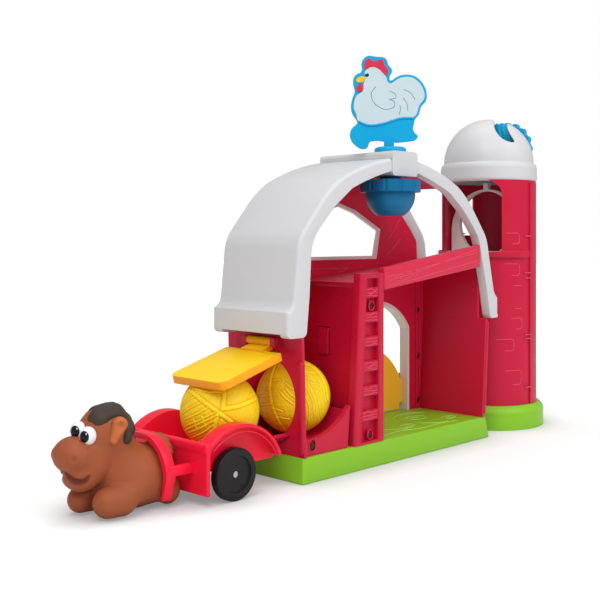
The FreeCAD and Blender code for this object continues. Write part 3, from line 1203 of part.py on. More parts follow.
ROOSTER_WATTLE = [
    (-28.5, 55.6), (-26.1, 56.4), (-24.8, 53.5), (-25.6, 49.9), (-28.5, 49.2), (-30.4, 50.8), (-29.9, 53.5),
]
ROOSTER_BEAK = [
    (-30.7, 60.1), (-28.5, 62.2), (-24.9, 62.9), (-22.8, 62), (-23.2, 59.5), (-26.4, 57.4), (-29.2, 57.6),
]
ROOSTER_EYE = (-20.6, 64.3)
ROOSTER_EYE_RADIUS = 1.1
ROOSTER_STEM = (-5.6, 3)
lowest = min(z for x, z in ROOSTER_EDGE)
rooster_scale = size("rooster_height") / (max(z for x, z in ROOSTER_EDGE) - lowest)


def vane_place(x, z, y=0.0):
    """A point of the flat rooster, before it is turned to its resting direction."""
    return vec(x * rooster_scale, y, z * rooster_scale)


def smooth_outline(points):
    """A closed smooth curve through the points of a rooster's outline."""
    curve = Part.BSplineCurve()
    curve.interpolate(Points=[vane_place(x, z) for x, z in points], PeriodicFlag=True)
    return Part.Wire(curve.toShape())


def thick_plate(wire, thick):
    """A flat outline made as thick as a plate, half to each side."""
    solid = Part.Face(wire).extrude(vec(0, thick, 0))
    solid.translate(vec(0, -thick / 2, 0))
    return solid


def seat_vane(shape):
    """Turn a finished vane piece to its resting direction and set it on the barn's ridge."""
    shape.rotate(vec(0, 0, 0), vec(0, 0, 1), size("vane_turn"))
    shape.translate(vec(size("roof_x"), size("vane_y"), vane_plate_low))
    return shape


inlay_thick = size("vane_thick") + 2 * size("inlay_proud")
comb_thick = inlay_thick + size("inlay_proud")
edge_plate = thick_plate(smooth_outline(ROOSTER_EDGE), size("vane_thick"))
body_plate = thick_plate(smooth_outline(ROOSTER_BODY), inlay_thick)
comb_plate = thick_plate(smooth_outline(ROOSTER_COMB), comb_thick)
wattle_plate = thick_plate(smooth_outline(ROOSTER_WATTLE), comb_thick)
beak_plate = thick_plate(smooth_outline(ROOSTER_BEAK), comb_thick)
comb_parts = [comb_plate.cut(body_plate), wattle_plate.cut(body_plate)]
comb_parts = [largest(part) for part in comb_parts]
beak_part = largest(beak_plate.cut(body_plate).cut(wattle_plate))
stem_low, stem_high = vane_place(ROOSTER_STEM[0], -1), vane_place(ROOSTER_STEM[1], 7)
stem = Part.makeBox(
    stem_high.x - stem_low.x, size("vane_thick"), stem_high.z - stem_low.z,
    stem_low - vec(0, size("vane_thick") / 2, 0))
frame_plate = edge_plate.fuse(stem).cut(body_plate).cut(comb_parts).cut(beak_part)
flange = Part.makeCylinder(size("vane_flange_radius"), size("vane_flange_thick"), vec(0, 0, -size("vane_flange_thick")))
flange_edge = max((edge for edge in flange.Edges if edge.Length > 4 * size("vane_flange_radius")),
                  key=lambda edge: edge.CenterOfMass.z)
flange = flange.makeFillet(size("vane_flange_thick") * 0.7, [flange_edge])
socket_depth = size("vane_flange_thick") - 1
socket = Part.makeCylinder(size("spindle_radius"), socket_depth, vec(0, 0, -size("vane_flange_thick")))
frame_plate = largest(frame_plate.fuse(flange).cut(socket))
eye = Part.makeCylinder(
    ROOSTER_EYE_RADIUS * rooster_scale, comb_thick, vane_place(*ROOSTER_EYE, -comb_thick / 2), vec(0, 1, 0))
body_plate = body_plate.cut(eye)
node("vane_frame", keep("vane_frame_solid", seat_vane(frame_plate)))
node("vane_body", keep("vane_body_solid", seat_vane(body_plate)))
node("vane_comb", keep("vane_comb_solid", seat_vane(Part.makeCompound(comb_parts))))
node("vane_beak", keep("vane_beak_solid", seat_vane(beak_part)))
node("vane_eye", keep("vane_eye_solid", seat_vane(eye)))
node("vane_spindle", rod(
    "vane_spindle_rod", "spindle_radius", "cap_top + vane_flange_gap + vane_flange_thick - 1 - rotor_disc_low",
    ("roof_x", "vane_y", "rotor_disc_low")))

cup_profile = trace(
    lambda x, z: vec(x, 0, z),
    (0, size("rotor_cup_low")), (size("rotor_cup_end"), size("rotor_cup_low")),
    ((size("rotor_cup_radius") * 0.88, (size("rotor_cup_low") * 0.62 + size("rotor_disc_low") * 0.38)),
     (size("rotor_cup_radius"), size("rotor_disc_low"))),
    (size("rotor_cup_radius"), size("rotor_disc_low") + 1), (0, size("rotor_disc_low") + 1))
rotor = cup_profile.revolve(vec(0, 0, 0), vec(0, 0, 1), 360)
disc_high = size("rotor_disc_high") - size("rotor_disc_low")
rotor = rotor.fuse(Part.makeCylinder(size("rotor_disc_radius"), disc_high, vec(0, 0, size("rotor_disc_low"))))
lobe_turn = 2 * math.pi / size("rotor_lobes")
groove_out = size("rotor_disc_radius") + size("rotor_groove") / 2
grooves = [
    Part.makeCylinder(size("rotor_groove"), disc_high + 2, vec(
        groove_out * math.cos(index * lobe_turn), groove_out * math.sin(index * lobe_turn), size("rotor_disc_low") - 1))
    for index in range(int(size("rotor_lobes")))
]
hub = Part.makeCylinder(
    size("rotor_hub_radius"), size("rotor_hub_high") - size("rotor_disc_low"), vec(0, 0, size("rotor_disc_low")))
rotor = rotor.cut(grooves).fuse(hub)
disc_high = size("rotor_hub_high") - size("rotor_disc_low")
rotor = rotor.cut(Part.makeCylinder(size("spindle_radius"), disc_high + 1, vec(0, 0, size("rotor_disc_low"))))
rotor.translate(vec(size("roof_x"), size("vane_y"), 0))
node("vane_rotor", keep("vane_rotor_solid", rotor.removeSplitter()))

# Silo: two half shells on a green foot whose neck reaches the barn base.
AXIS = vec(size("silo_x"), size("silo_y"), 0)


def lathe(start, *steps):
    """A solid turned about the silo's axis from a radius-height outline."""
    return trace(lambda radius, z: AXIS + vec(radius, 0, z), start, *steps).revolve(AXIS, vec(0, 0, 1), 360)


foot_round = size("base_wall") * 2
foot = lathe(
    (0, 0), (size("foot_radius"), 0), (size("foot_radius"), size("foot_height") - 2 * foot_round),
    ((size("foot_radius") - foot_round * 0.3, size("foot_height") - foot_round * 0.6),
     (size("foot_radius") - foot_round, size("foot_height"))),
    (0, size("foot_height")))
neck_start = size("base_length") / 2
neck = Part.makeBox(
    size("silo_x") - neck_start, size("neck_width"), size("neck_height"), vec(neck_start, size("neck_low_y"), 0))
foot = foot.fuse(neck)
foot = foot.cut(lathe(
    (0, -1), (size("foot_radius") - size("base_wall"), -1),
    (size("foot_radius") - size("base_wall"), size("foot_height") - 2 * size("base_wall") - foot_round),
    (size("foot_radius") - size("base_wall") - foot_round, size("foot_height") - size("base_wall")),
    (0, size("foot_height") - size("base_wall"))))
node("silo_foot", keep("silo_foot_solid", foot.removeSplitter()))

inner_radius = size("silo_radius") - size("silo_wall")
tube = lathe(
    (inner_radius, size("foot_height")), (size("silo_radius"), size("foot_height")),
    (size("silo_radius"), size("silo_top")), (inner_radius, size("silo_top")))
ledge_high = size("gate_sill_z") - size("tray_thick")
ledge = lathe(
    (inner_radius - 3, ledge_high - 3), (inner_radius + 1, ledge_high - 3), (inner_radius + 1, ledge_high),
    (inner_radius - 3, ledge_high))
lip_low = size("gate_sill_z") - size("lip_height") + 1
lip = lathe(
    (inner_radius + 1, lip_low), (size("lip_radius") - 1, lip_low), (size("lip_radius"), lip_low + 1),
    (size("lip_radius"), lip_low + size("lip_height") - 1), (size("lip_radius") - 1, lip_low + size("lip_height")),
    (inner_radius + 1, lip_low + size("lip_height")))
lip = lip.common(Part.makeBox(
    2 * size("lip_radius"), 2 * size("lip_half"), size("ridge_z"),
    AXIS + vec(-2 * size("lip_radius"), -size("lip_half"), 0)))
mouth_face = trace(
    lambda y, z: AXIS + vec(-2 * size("silo_radius"), y, z),
    (-size("mouth_half"), size("gate_sill_z")), (size("mouth_half"), size("gate_sill_z")),
    (size("mouth_half"), size("mouth_top_z") - size("mouth_corner")),
    ((size("mouth_half") - size("mouth_corner") * (1 - math.sqrt(0.5)),
      size("mouth_top_z") - size("mouth_corner") * (1 - math.sqrt(0.5))),
     (size("mouth_half") - size("mouth_corner"), size("mouth_top_z"))),
    (size("mouth_corner") - size("mouth_half"), size("mouth_top_z")),
    ((size("mouth_corner") * (1 - math.sqrt(0.5)) - size("mouth_half"),
      size("mouth_top_z") - size("mouth_corner") * (1 - math.sqrt(0.5))),
     (-size("mouth_half"), size("mouth_top_z") - size("mouth_corner"))))
mouth = slab(mouth_face, vec(2 * size("silo_radius"), 0, 0))
left_room = Part.makeBox(
    2 * size("foot_radius"), 4 * size("foot_radius"), size("ridge_z"),
    AXIS + vec(-2 * size("foot_radius"), -2 * size("foot_radius"), 0))
left_half = tube.fuse([ledge, lip]).common(left_room).cut(mouth)
node("silo_left_half", keep("silo_left_half_solid", left_half.removeSplitter()))

port = Part.makeBox(
    2 * size("silo_radius"), 2 * size("port_half"), size("port_high_z") - size("port_low_z"),
    vec(inner_radius / 2, -size("port_half"), size("port_low_z")))
port.rotate(vec(0, 0, 0), vec(0, 0, 1), size("port_azimuth"))
port.translate(AXIS)
pilasters = []
for side in (-1, 1):
    strip = lathe(
        (inner_radius + 1, size("foot_height")), (size("silo_radius") + size("pilaster_proud"), size("foot_height")),
        (size("silo_radius") + size("pilaster_proud"), size("brim_low_z") - 1), (inner_radius + 1, size("brim_low_z") - 1))
    strip = strip.common(Part.makeBox(
        size("pilaster_width"), 2 * size("silo_radius"), size("silo_top"),
        AXIS + vec(0, 0 if side > 0 else -2 * size("silo_radius"), 0)))
    pilasters.append(strip)
right_half = tube.common(left_room.mirror(AXIS, vec(1, 0, 0))).fuse(pilasters).cut(port)
node("silo_right_half", keep("silo_right_half_solid", right_half.removeSplitter()))

# White gate: an upright plate with a round ball hole and the floor tray in front of it.
gate_x = -size("gate_thick")
gate_flat = 0.955
gate_face = trace(
    lambda y, z: AXIS + vec(gate_x, y, z),
    (-size("gate_half"), ledge_high), (size("gate_half"), ledge_high),
    (size("gate_half"), size("gate_spring_z")),
    ((0, size("gate_spring_z") + size("gate_half") * gate_flat), (-size("gate_half"), size("gate_spring_z"))))
gate = slab(gate_face, vec(size("gate_thick") - size("fit_gap"), 0, 0))
gate_hole = Part.makeCylinder(
    size("gate_hole_radius"), 2 * size("gate_thick"),
    AXIS + vec(2 * gate_x, 0, size("gate_hole_z")), vec(1, 0, 0))
tray_disc = lathe(
    (0, ledge_high), (inner_radius - size("fit_gap"), ledge_high), (inner_radius - size("fit_gap"), size("gate_sill_z")),
    (0, size("gate_sill_z")))
tray_disc = tray_disc.common(Part.makeBox(
    2 * size("silo_radius"), 2 * size("silo_radius"), size("ridge_z"),
    AXIS + vec(-2 * size("silo_radius") - size("fit_gap"), -size("silo_radius"), 0)))
stop = Part.makeBox(
    size("gate_thick") - size("fit_gap"), 6, size("brim_low_z") - size("gate_spring_z") - size("gate_half") * gate_flat + 2,
    AXIS + vec(gate_x, -3, size("gate_spring_z") + size("gate_half") * gate_flat - 2))
gate = gate.cut(gate_hole).fuse([tray_disc, stop]).removeSplitter()
node("silo_gate", keep("silo_gate_solid", gate))

# Dome: a turned shell with a brim, a slot for the toothed wheel and a scoop that bares its face.
def dome_steps(inset):
    """The dome's outline above its brim, from low to high; its top is part of a ball."""
    top_radius = size("dome_top_dx") - inset
    top_rise = size("dome_peak_z") - size("dome_top_z")
    ball_radius = (top_radius ** 2 + top_rise ** 2) / (2 * top_rise)
    half_turn = math.asin(top_radius / ball_radius) / 2
    peak = size("dome_peak_z") - inset
    return [
        ((size("dome_mid_dx") + 1.6 - inset, (size("brim_high_z") + size("dome_mid_z")) / 2),
         (size("dome_mid_dx") - inset, size("dome_mid_z") - inset / 3)),
        ((size("dome_high_dx") + 2.4 - inset, size("dome_high_z") - 5.6 - inset / 2),
         (size("dome_high_dx") - inset, size("dome_high_z") - inset / 2)),
        ((size("dome_top_dx") + 10 - inset, size("dome_top_z") - 5.6 - inset),
         (top_radius, size("dome_top_z") - inset)),
        ((ball_radius * math.sin(half_turn), peak - ball_radius * (1 - math.cos(half_turn))), (0, peak)),
    ]


def dome_core(inset, low_z):
    """The solid under the dome's surface, drawn in by a distance."""
    return lathe((0, low_z), (size("dome_radius") - inset, low_z), (size("dome_radius") - inset, size("brim_high_z")),
                 *dome_steps(inset))


brim_edge = 3
brim = lathe(
    (0, size("brim_low_z")), (size("brim_radius"), size("brim_low_z")),
    (size("brim_radius"), size("brim_high_z") - brim_edge),
    ((size("brim_radius") - brim_edge * 0.3, size("brim_high_z") - brim_edge * 0.3),
     (size("brim_radius") - brim_edge, size("brim_high_z"))),
    (0, size("brim_high_z")))
seat_radius = size("silo_radius") + size("pilaster_proud") / 4
dome = brim.fuse(dome_core(0, size("brim_high_z") - 1))
dome = dome.cut([
    Part.makeCylinder(seat_radius, size("silo_top") - size("brim_low_z") + 1, AXIS + vec(0, 0, size("brim_low_z") - 1)),
    dome_core(size("dome_wall"), size("brim_low_z")),
])
wheel_reach = size("wheel_radius") + size("wheel_tooth") + size("wheel_gap")
slot = Part.makeCylinder(wheel_reach, size("wheel_thick") + 2 * size("wheel_gap"), vec(
    size("silo_x") + size("wheel_offset") - size("wheel_thick") / 2 - size("wheel_gap"),
    size("wheel_axis_y"), size("wheel_axis_z")), vec(1, 0, 0))
azimuth, rise = math.radians(size("scoop_azimuth")), math.radians(size("scoop_rise"))
scoop_way = vec(math.cos(azimuth) * math.cos(rise), math.sin(azimuth) * math.cos(rise), math.sin(rise))
across = vec(math.sin(azimuth), -math.cos(azimuth), 0)
scoop_middle = vec(size("silo_x") + size("wheel_offset"), size("wheel_axis_y"), size("wheel_axis_z"))
scoop_face = trace(
    lambda right, up: scoop_middle + (across * right + vec(0, 0, up)) * (size("wheel_radius") / 29.6)
    - scoop_way * (2 * size("dome_radius")),
    (-15.1, 26), ((-5.5, 14), (6.4, 8.4)), ((5, 18), (-0.1, 27)), (-0.1, 42), (-15.1, 42))
scoop_room = Part.makeBox(
    2 * size("dome_radius"), 4 * size("dome_radius"), 2 * size("dome_radius"),
    vec(size("silo_x") + size("wheel_offset") - 2 * size("dome_radius"), -2 * size("dome_radius"), size("brim_high_z")))
scoop = slab(scoop_face, scoop_way * (3 * size("dome_radius"))).common(scoop_room)
dome = dome.cut(slot).cut(scoop)
bracket_x = size("wheel_offset") - size("wheel_thick") / 2 - size("wheel_hub_length") - size("ball_gap")
brackets = [
    Part.makeBox(
        size("bracket_thick"), size("dome_radius") + size("bracket_half"), 2 * size("bracket_half"), vec(
            size("silo_x") + side * (bracket_x - size("bracket_thick") / 2) - size("bracket_thick") / 2,
            size("wheel_axis_y") - size("bracket_half"), size("wheel_axis_z") - size("bracket_half")))
    for side in (-1, 1)
]
bracket_room = dome_core(size("dome_wall") / 2, size("brim_high_z"))
dome = dome.fuse([bracket.common(bracket_room) for bracket in brackets])
dome = dome.cut(Part.makeCylinder(
    size("axle_radius") + size("pin_clearance"), 2 * bracket_x + 2,
    vec(size("silo_x") - bracket_x - 1, size("wheel_axis_y"), size("wheel_axis_z")), vec(1, 0, 0)))
node("silo_dome", keep("silo_dome_solid", largest(dome.removeSplitter())))

tooth_turn = 2 * math.pi / size("wheel_teeth")
wheel_face = vec(
    size("silo_x") + size("wheel_offset") - size("wheel_thick") / 2, size("wheel_axis_y"), size("wheel_axis_z"))
disc = Part.makeCylinder(size("wheel_radius"), size("wheel_thick"), wheel_face, vec(1, 0, 0))
tooth_out = size("wheel_radius") - size("wheel_tooth")
teeth = [
    Part.makeCylinder(2 * size("wheel_tooth"), size("wheel_thick"), wheel_face + vec(
        0, tooth_out * math.cos(index * tooth_turn), tooth_out * math.sin(index * tooth_turn)), vec(1, 0, 0))
    for index in range(int(size("wheel_teeth")))
]
hub = Part.makeCylinder(
    size("wheel_hub_radius"), size("wheel_hub_length"), wheel_face - vec(size("wheel_hub_length"), 0, 0), vec(1, 0, 0))
bore = Part.makeCylinder(
    size("axle_radius"), size("wheel_thick") + size("wheel_hub_length"),
    wheel_face - vec(size("wheel_hub_length"), 0, 0), vec(1, 0, 0))
node("dome_wheel", keep("dome_wheel_solid", disc.fuse([*teeth, hub]).cut(bore).removeSplitter()))
node("dome_axle", rod("dome_axle_rod", "axle_radius", "2 * wheel_offset + wheel_thick / 2", (
    "silo_x - wheel_offset", "wheel_axis_y", "wheel_axis_z"), "x"))

# Cart: a tub with arched sides and fenders over two wheels, and a yoke that goes round the horse.
cart_low_y = size("cart_y") - size("cart_half")
cart_high_y = size("cart_y") + size("cart_half")
side_mid_x = (size("cart_front_x") + size("cart_back_x")) / 2 - 1
cart_wall = size("cart_wall")


def side_face(y, inset):
    """The arched side of the tub."""
    return trace(
        lambda x, z: vec(x, y, z),
        (size("cart_front_x") + inset, size("cart_floor_z") - cart_wall), (size("cart_back_x") - inset, size("cart_floor_z") - cart_wall),
        (size("cart_back_x") - inset, size("cart_floor_z") + 3 - inset),
        ((side_mid_x, size("cart_side_z") - inset), (size("cart_front_x") + inset, size("cart_end_z") - inset)))


side_deep = vec(0, cart_wall, 0)
cart = slab(side_face(cart_low_y, 0), side_deep).fuse(slab(side_face(cart_high_y - cart_wall, 0), side_deep))
cart = cart.fuse(Part.makeBox(
    size("cart_back_x") - size("cart_front_x"), 2 * size("cart_half"), cart_wall,
    vec(size("cart_front_x"), cart_low_y, size("cart_floor_z") - cart_wall)))
cart = cart.fuse(Part.makeBox(
    cart_wall, 2 * size("cart_half"), size("cart_end_z") - size("cart_low_z"),
    vec(size("cart_front_x"), cart_low_y, size("cart_low_z"))))
arch_inner = Part.makeCylinder(
    size("fender_radius"), 2 * size("cart_half") + 3 * size("fender_width"),
    vec(size("cart_axle_x"), cart_low_y - 1.5 * size("fender_width"), size("cart_wheel_radius")), vec(0, 1, 0))
for y in (cart_low_y - size("fender_width"), cart_high_y):
    shade = slab(side_face(y, 0), vec(0, size("fender_width"), 0)).cut(slab(
        side_face(y - 1, cart_wall), vec(0, size("fender_width") + 2, 0)))
    shade = shade.cut(Part.makeBox(
        size("base_length"), 4 * size("fender_width"), cart_wall + 2,
        vec(size("cart_front_x") - 1, y - size("fender_width"), size("cart_floor_z") - cart_wall - 1)))
    cart = cart.fuse(shade)
axle_block_z = size("cart_floor_z") - cart_wall
for y in (cart_low_y + 4, cart_high_y - 10):
    cart = cart.fuse(Part.makeBox(
        12, 6, axle_block_z - size("cart_wheel_radius") + 6,
        vec(size("cart_axle_x") - 6, y, size("cart_wheel_radius") - 6)))
cart = cart.cut(Part.makeCylinder(
    size("axle_radius") + size("pin_clearance"), 4 * size("cart_half"),
    vec(size("cart_axle_x"), cart_low_y - size("cart_half"), size("cart_wheel_radius")), vec(0, 1, 0)))
node("cart_body", keep("cart_body_solid", cart.removeSplitter()))

wheel_nodes = []
for side in (-1, 1):
    y_in = size("cart_y") + side * (size("cart_half") + size("cart_wheel_gap"))
    y_start = y_in if side > 0 else y_in - size("cart_wheel_width")
    tyre = Part.makeCylinder(
        size("cart_wheel_radius"), size("cart_wheel_width"),
        vec(size("cart_axle_x"), y_start, size("cart_wheel_radius")), vec(0, 1, 0))
    tyre = tyre.makeFillet(1.6, [edge for edge in tyre.Edges if edge.Length > size("cart_wheel_radius") * 5])
    dish_y = y_start - 1 if side < 0 else y_start + size("cart_wheel_width") - 1.5
    tyre = tyre.cut(Part.makeCylinder(
        size("cart_wheel_radius") * 0.72, 2.5, vec(size("cart_axle_x"), dish_y, size("cart_wheel_radius")), vec(0, 1, 0)))
    tyre = tyre.cut(Part.makeCylinder(
        size("axle_radius"), size("cart_wheel_width"),
        vec(size("cart_axle_x"), y_start, size("cart_wheel_radius")), vec(0, 1, 0)))
    wheel_nodes.append(tyre)
node("cart_wheels", keep("cart_wheels_solid", Part.makeCompound(wheel_nodes)))
node("cart_axle", rod("cart_axle_rod", "axle_radius", (
    "2 * (cart_half + cart_wheel_gap + cart_wheel_width) - 4"), (
    "cart_axle_x", "cart_y - cart_half - cart_wheel_gap - cart_wheel_width + 2", "cart_wheel_radius"), "y"))


def yoke_face(x, inset):
    """The yoke's upside-down U, narrower at its ends."""
    half = size("yoke_half") - inset
    top = size("yoke_spring_z") + half * 0.86
    low = size("yoke_foot_z") if inset == 0 else -10
    foot_half = half - 5
    bend = half * 0.74
    return trace(
        lambda y, z: vec(x, size("horse_y") + y, z),
        (-foot_half, low), (foot_half, low),
        (half, size("yoke_spring_z")),
        ((bend, size("yoke_spring_z") + half * 0.60), (0, top)),
        ((-bend, size("yoke_spring_z") + half * 0.60), (-half, size("yoke_spring_z"))))


yoke_deep = vec(size("yoke_depth"), 0, 0)
yoke_x = size("yoke_x") - size("yoke_depth") / 2
yoke = slab(yoke_face(yoke_x, 0), yoke_deep).cut(slab(yoke_face(yoke_x - 1, size("yoke_wall")), yoke_deep * 2))
shaft_from = size("yoke_x")
for side in (-1, 1):
    shaft_y = size("horse_y") + side * (size("yoke_half") - size("yoke_wall"))
    yoke = yoke.fuse(Part.makeBox(
        size("cart_front_x") - shaft_from, size("yoke_wall"), size("shaft_height"),
        vec(shaft_from, shaft_y if side > 0 else shaft_y - size("yoke_wall"), size("shaft_z") - size("shaft_height") / 2)))
node("cart_yoke", keep("cart_yoke_solid", yoke.removeSplitter()))


# Horse: a soft figure lying down, with its mane, eyes and tail as pieces of their own.
HORSE_Y = size("horse_y")


def round_bar(radius, start, length):
    """A bar along X with round ends."""
    return Part.makeCylinder(radius, length, start, vec(1, 0, 0)).fuse(
        [Part.makeSphere(radius, start), Part.makeSphere(radius, start + vec(length, 0, 0))])


body_straight = size("horse_body_length") - 2 * size("horse_body_radius")
body_z = size("horse_body_radius") + size("ball_gap")
head_middle = vec(size("horse_head_x"), HORSE_Y, size("horse_head_z"))
trunk = round_bar(
    size("horse_body_radius"), vec(size("horse_body_x") - body_straight / 2, HORSE_Y, body_z), body_straight)
head = Part.makeSphere(size("horse_head_radius"), head_middle)
muzzle = Part.makeSphere(size("muzzle_radius"), vec(size("muzzle_x"), HORSE_Y, size("muzzle_z")))
throat = Part.makeSphere(size("horse_head_radius") - 1, vec(
    (size("horse_body_x") + size("horse_head_x")) / 2, HORSE_Y, (body_z + size("horse_head_z")) / 2))
limbs = []
for side in (-1, 1):
    limbs.append(round_bar(size("hoof_radius"), vec(
        size("horse_body_x") - size("hoof_reach") - side * size("hoof_stagger"),
        HORSE_Y + size("hoof_shift") + side * size("hoof_spread"), size("hoof_radius") + size("ball_gap")),
        size("hoof_length")))
    limbs.append(Part.makeSphere(size("haunch_radius"), vec(
        size("horse_body_x") + size("haunch_reach"), HORSE_Y + side * size("haunch_spread"),
        size("haunch_radius") + size("ball_gap"))))
horse = trunk.fuse([head, muzzle, throat, *limbs])
ears = [
    Part.makeCone(5, 1.5, size("ear_length"), head_middle + vec(5, side * size("ear_spread"), 12),
                  vec(0.25, side * 0.75, 0.8))
    for side in (-1, 1)
]
horse = horse.fuse(ears).removeSplitter()
mane_solid = largest(Part.makeCylinder(
    size("mane_radius"), size("mane_width"), vec(size("mane_x"), HORSE_Y - size("mane_width") / 2, size("mane_z")),
    vec(0, 1, 0)).cut(horse))
eyes = [
    largest(Part.makeSphere(size("eye_radius"), head_middle + vec(
        -size("eye_reach"), side * size("eye_spread"), size("eye_rise"))).cut(horse))
    for side in (-1, 1)
]
tail_solid = largest(Part.makeSphere(size("tail_radius"), vec(
    size("tail_x"), HORSE_Y - size("tail_radius"), size("tail_z"))).cut(horse))
node("horse_body", keep("horse_body_solid", horse))
node("horse_mane", keep("horse_mane_solid", mane_solid))
node("horse_tail", keep("horse_tail_solid", tail_solid))
node("horse_eyes", keep("horse_eyes_solid", Part.makeCompound(eyes)))

doc.recompute()
faults = []
for thing in doc.Objects:
    if {"Invalid", "Error"} & set(thing.State):
        faults.append(f"{thing.Name}: {thing.State}")
    if thing.TypeId == "PartDesign::Pocket":
        before = thing.BaseFeature.Shape.Volume
        if before - thing.Shape.Volume < 1e-3:
            faults.append(f"{thing.Name}: cuts nothing")
for thing in NODES:
    if thing.Shape.isNull() or not thing.Shape.isValid() or not thing.Shape.Solids:
        faults.append(f"{thing.Label}: no sound shape")
if faults:
    raise RuntimeError("; ".join(faults))
for thing in NODES:
    thing.Shape.exportStep(f"parts/{thing.Label}.step")
    box = thing.Shape.BoundBox
    print(f"{thing.Label}: {len(thing.Shape.Solids)} solid(s), {thing.Shape.Volume / 1000:.1f} cm3,"
          f" X {box.XMin:.1f}..{box.XMax:.1f} Y {box.YMin:.1f}..{box.YMax:.1f} Z {box.ZMin:.1f}..{box.ZMax:.1f}")
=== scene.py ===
# %% [markdown]
# # A toy farm playset, dressed for the camera
# The solids of the barn, its silo, the cart, the horse and the balls come in as a fixed frame.
# Each step below first says what a piece is on the real toy and then gives it its surface.
# %% Load the frame
import math

import bpy
import numpy as np
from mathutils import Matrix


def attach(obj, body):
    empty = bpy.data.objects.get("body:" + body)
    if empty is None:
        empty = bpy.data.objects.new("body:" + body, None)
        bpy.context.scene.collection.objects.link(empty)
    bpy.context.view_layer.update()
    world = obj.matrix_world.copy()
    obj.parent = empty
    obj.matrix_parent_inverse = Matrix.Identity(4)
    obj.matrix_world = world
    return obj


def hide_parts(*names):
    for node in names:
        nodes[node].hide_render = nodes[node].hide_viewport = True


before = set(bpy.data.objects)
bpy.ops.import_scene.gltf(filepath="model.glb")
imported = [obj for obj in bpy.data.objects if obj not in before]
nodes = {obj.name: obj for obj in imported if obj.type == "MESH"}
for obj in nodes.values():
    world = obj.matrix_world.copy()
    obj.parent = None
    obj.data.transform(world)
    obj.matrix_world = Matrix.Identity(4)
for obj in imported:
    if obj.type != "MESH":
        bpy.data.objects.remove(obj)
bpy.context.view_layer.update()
scene = bpy.context.scene
scene.view_settings.view_transform = "Standard"

# %% [markdown]
# ## The camera
# The toy was photographed from its open left corner, with a level camera at about the height of the
# loft. A level camera keeps upright edges upright, so the picture is moved down with a lens shift. A
# tilted camera could frame it too, but the silo would lean.
# %% Camera
EYE = (-0.6836, -0.5866, 0.196)
LOOK = (0.716, 0.699)
camera_data = bpy.data.cameras.new("studio_camera")
camera_data.lens = 58.3
camera_data.sensor_width = 36.0
camera_data.shift_y = -0.1033
camera = bpy.data.objects.new("studio_camera", camera_data)
camera.location = EYE
camera.rotation_euler = (math.pi / 2, 0.0, -math.atan2(*LOOK))
scene.collection.objects.link(camera)
scene.camera = camera
print("camera at", EYE, "turned", round(math.degrees(camera.rotation_euler.z), 1))

# %% [markdown]
# ## Nodes and what feeds them
# The lit room, each plastic and the floor are small nets of shader nodes. One helper makes a node, sets it
# and joins it to the nodes before it, so that a net can be read from its source to its end.
# %% A node with its inputs


def add(net, kind, feeds=(), **settings):
    """A node of a kind, its settings given by name. Feeds pair the name or number of an input with a value
    or with the output that drives it."""
    made = net.nodes.new(kind)
    for name, value in settings.items():
        setattr(made, name, value)
    for name, source in dict(feeds).items():
        if isinstance(source, bpy.types.NodeSocket):
            net.links.new(source, made.inputs[name])
        else:
            made.inputs[name].default_value = source
    return made


WHITE = (1.0, 1.0, 1.0, 1.0)
print("white is", WHITE)

# %% [markdown]
# ## Studio light
# The toy stands in soft light from a large source above the camera's left, with a weaker one on the
# right. Pale plastic needs broad lamps, because small ones burn out and leave hard edges.
# %% Lamps


def area_lamp(name, place, target, size, power):
    """A square lamp at a place, turned so that its face looks at the target."""
    lamp_data = bpy.data.lights.new(name, "AREA")
    lamp_data.shape = "SQUARE"
    lamp_data.size = size
    lamp_data.energy = power
    lamp = bpy.data.objects.new(name, lamp_data)
    lamp.location = place
    away = np.subtract(place, target)
    lamp.rotation_euler = (
        math.acos(away[2] / np.linalg.norm(away)), 0.0, math.atan2(away[1], away[0]) + math.pi / 2)
    scene.collection.objects.link(lamp)


MIDDLE = (0.0, 0.0, 0.15)
area_lamp("key_lamp", (-1.15, -0.75, 1.6), MIDDLE, 1.0, 17.0)
area_lamp("fill_lamp", (0.35, -1.5, 1.35), MIDDLE, 1.2, 13.0)
area_lamp("top_lamp", (0.1, 0.2, 2.0), MIDDLE, 1.2, 10.0)

# %% [markdown]
# ## A white room
# A catalogue picture has an open white ground. The room looks fully white to the camera and lights the toy
# with less than half of that, because white walls at full strength would wash the colours out.
# %% Room
world = bpy.data.worlds.new("white_room")
scene.world = world
world.use_nodes = True
room = world.node_tree
room.nodes.clear()
rays = add(room, "ShaderNodeLightPath")
seen = add(room, "ShaderNodeMath", {
    0: rays.outputs["Is Camera Ray"], 1: rays.outputs["Is Transmission Ray"]}, operation="MAXIMUM")
room_light = add(room, "ShaderNodeBackground", {"Color": WHITE, "Strength": 0.42})
white_view = add(room, "ShaderNodeBackground", {"Color": WHITE, "Strength": 1.0})
choose = add(room, "ShaderNodeMixShader", {
    "Fac": seen.outputs[0], 1: room_light.outputs[0], 2: white_view.outputs[0]})
add(room, "ShaderNodeOutputWorld", {"Surface": choose.outputs[0]})
print("room nodes:", len(room.nodes))

# %% [markdown]
# ## Colours
# A colour is easiest to judge on a screen, from 0 to 255, but the shader wants the amount of light behind
# it. The screen's curve between the two is undone here.
# %% From the screen to light


def linear(red, green, blue):
    """A colour of 0 to 255 on a screen as linear light: a low share is divided by 12.92, any other share s
    becomes ((s + 0.055) / 1.055) to the power of 2.4."""
    share = np.array([red, green, blue]) / 255.0
    light = np.where(share <= 0.04045, share / 12.92, ((share + 0.055) / 1.055) ** 2.4)
    return (*light.tolist(), 1.0)


print("a middle grey gives", round(linear(128, 128, 128)[0], 3), "of the light")

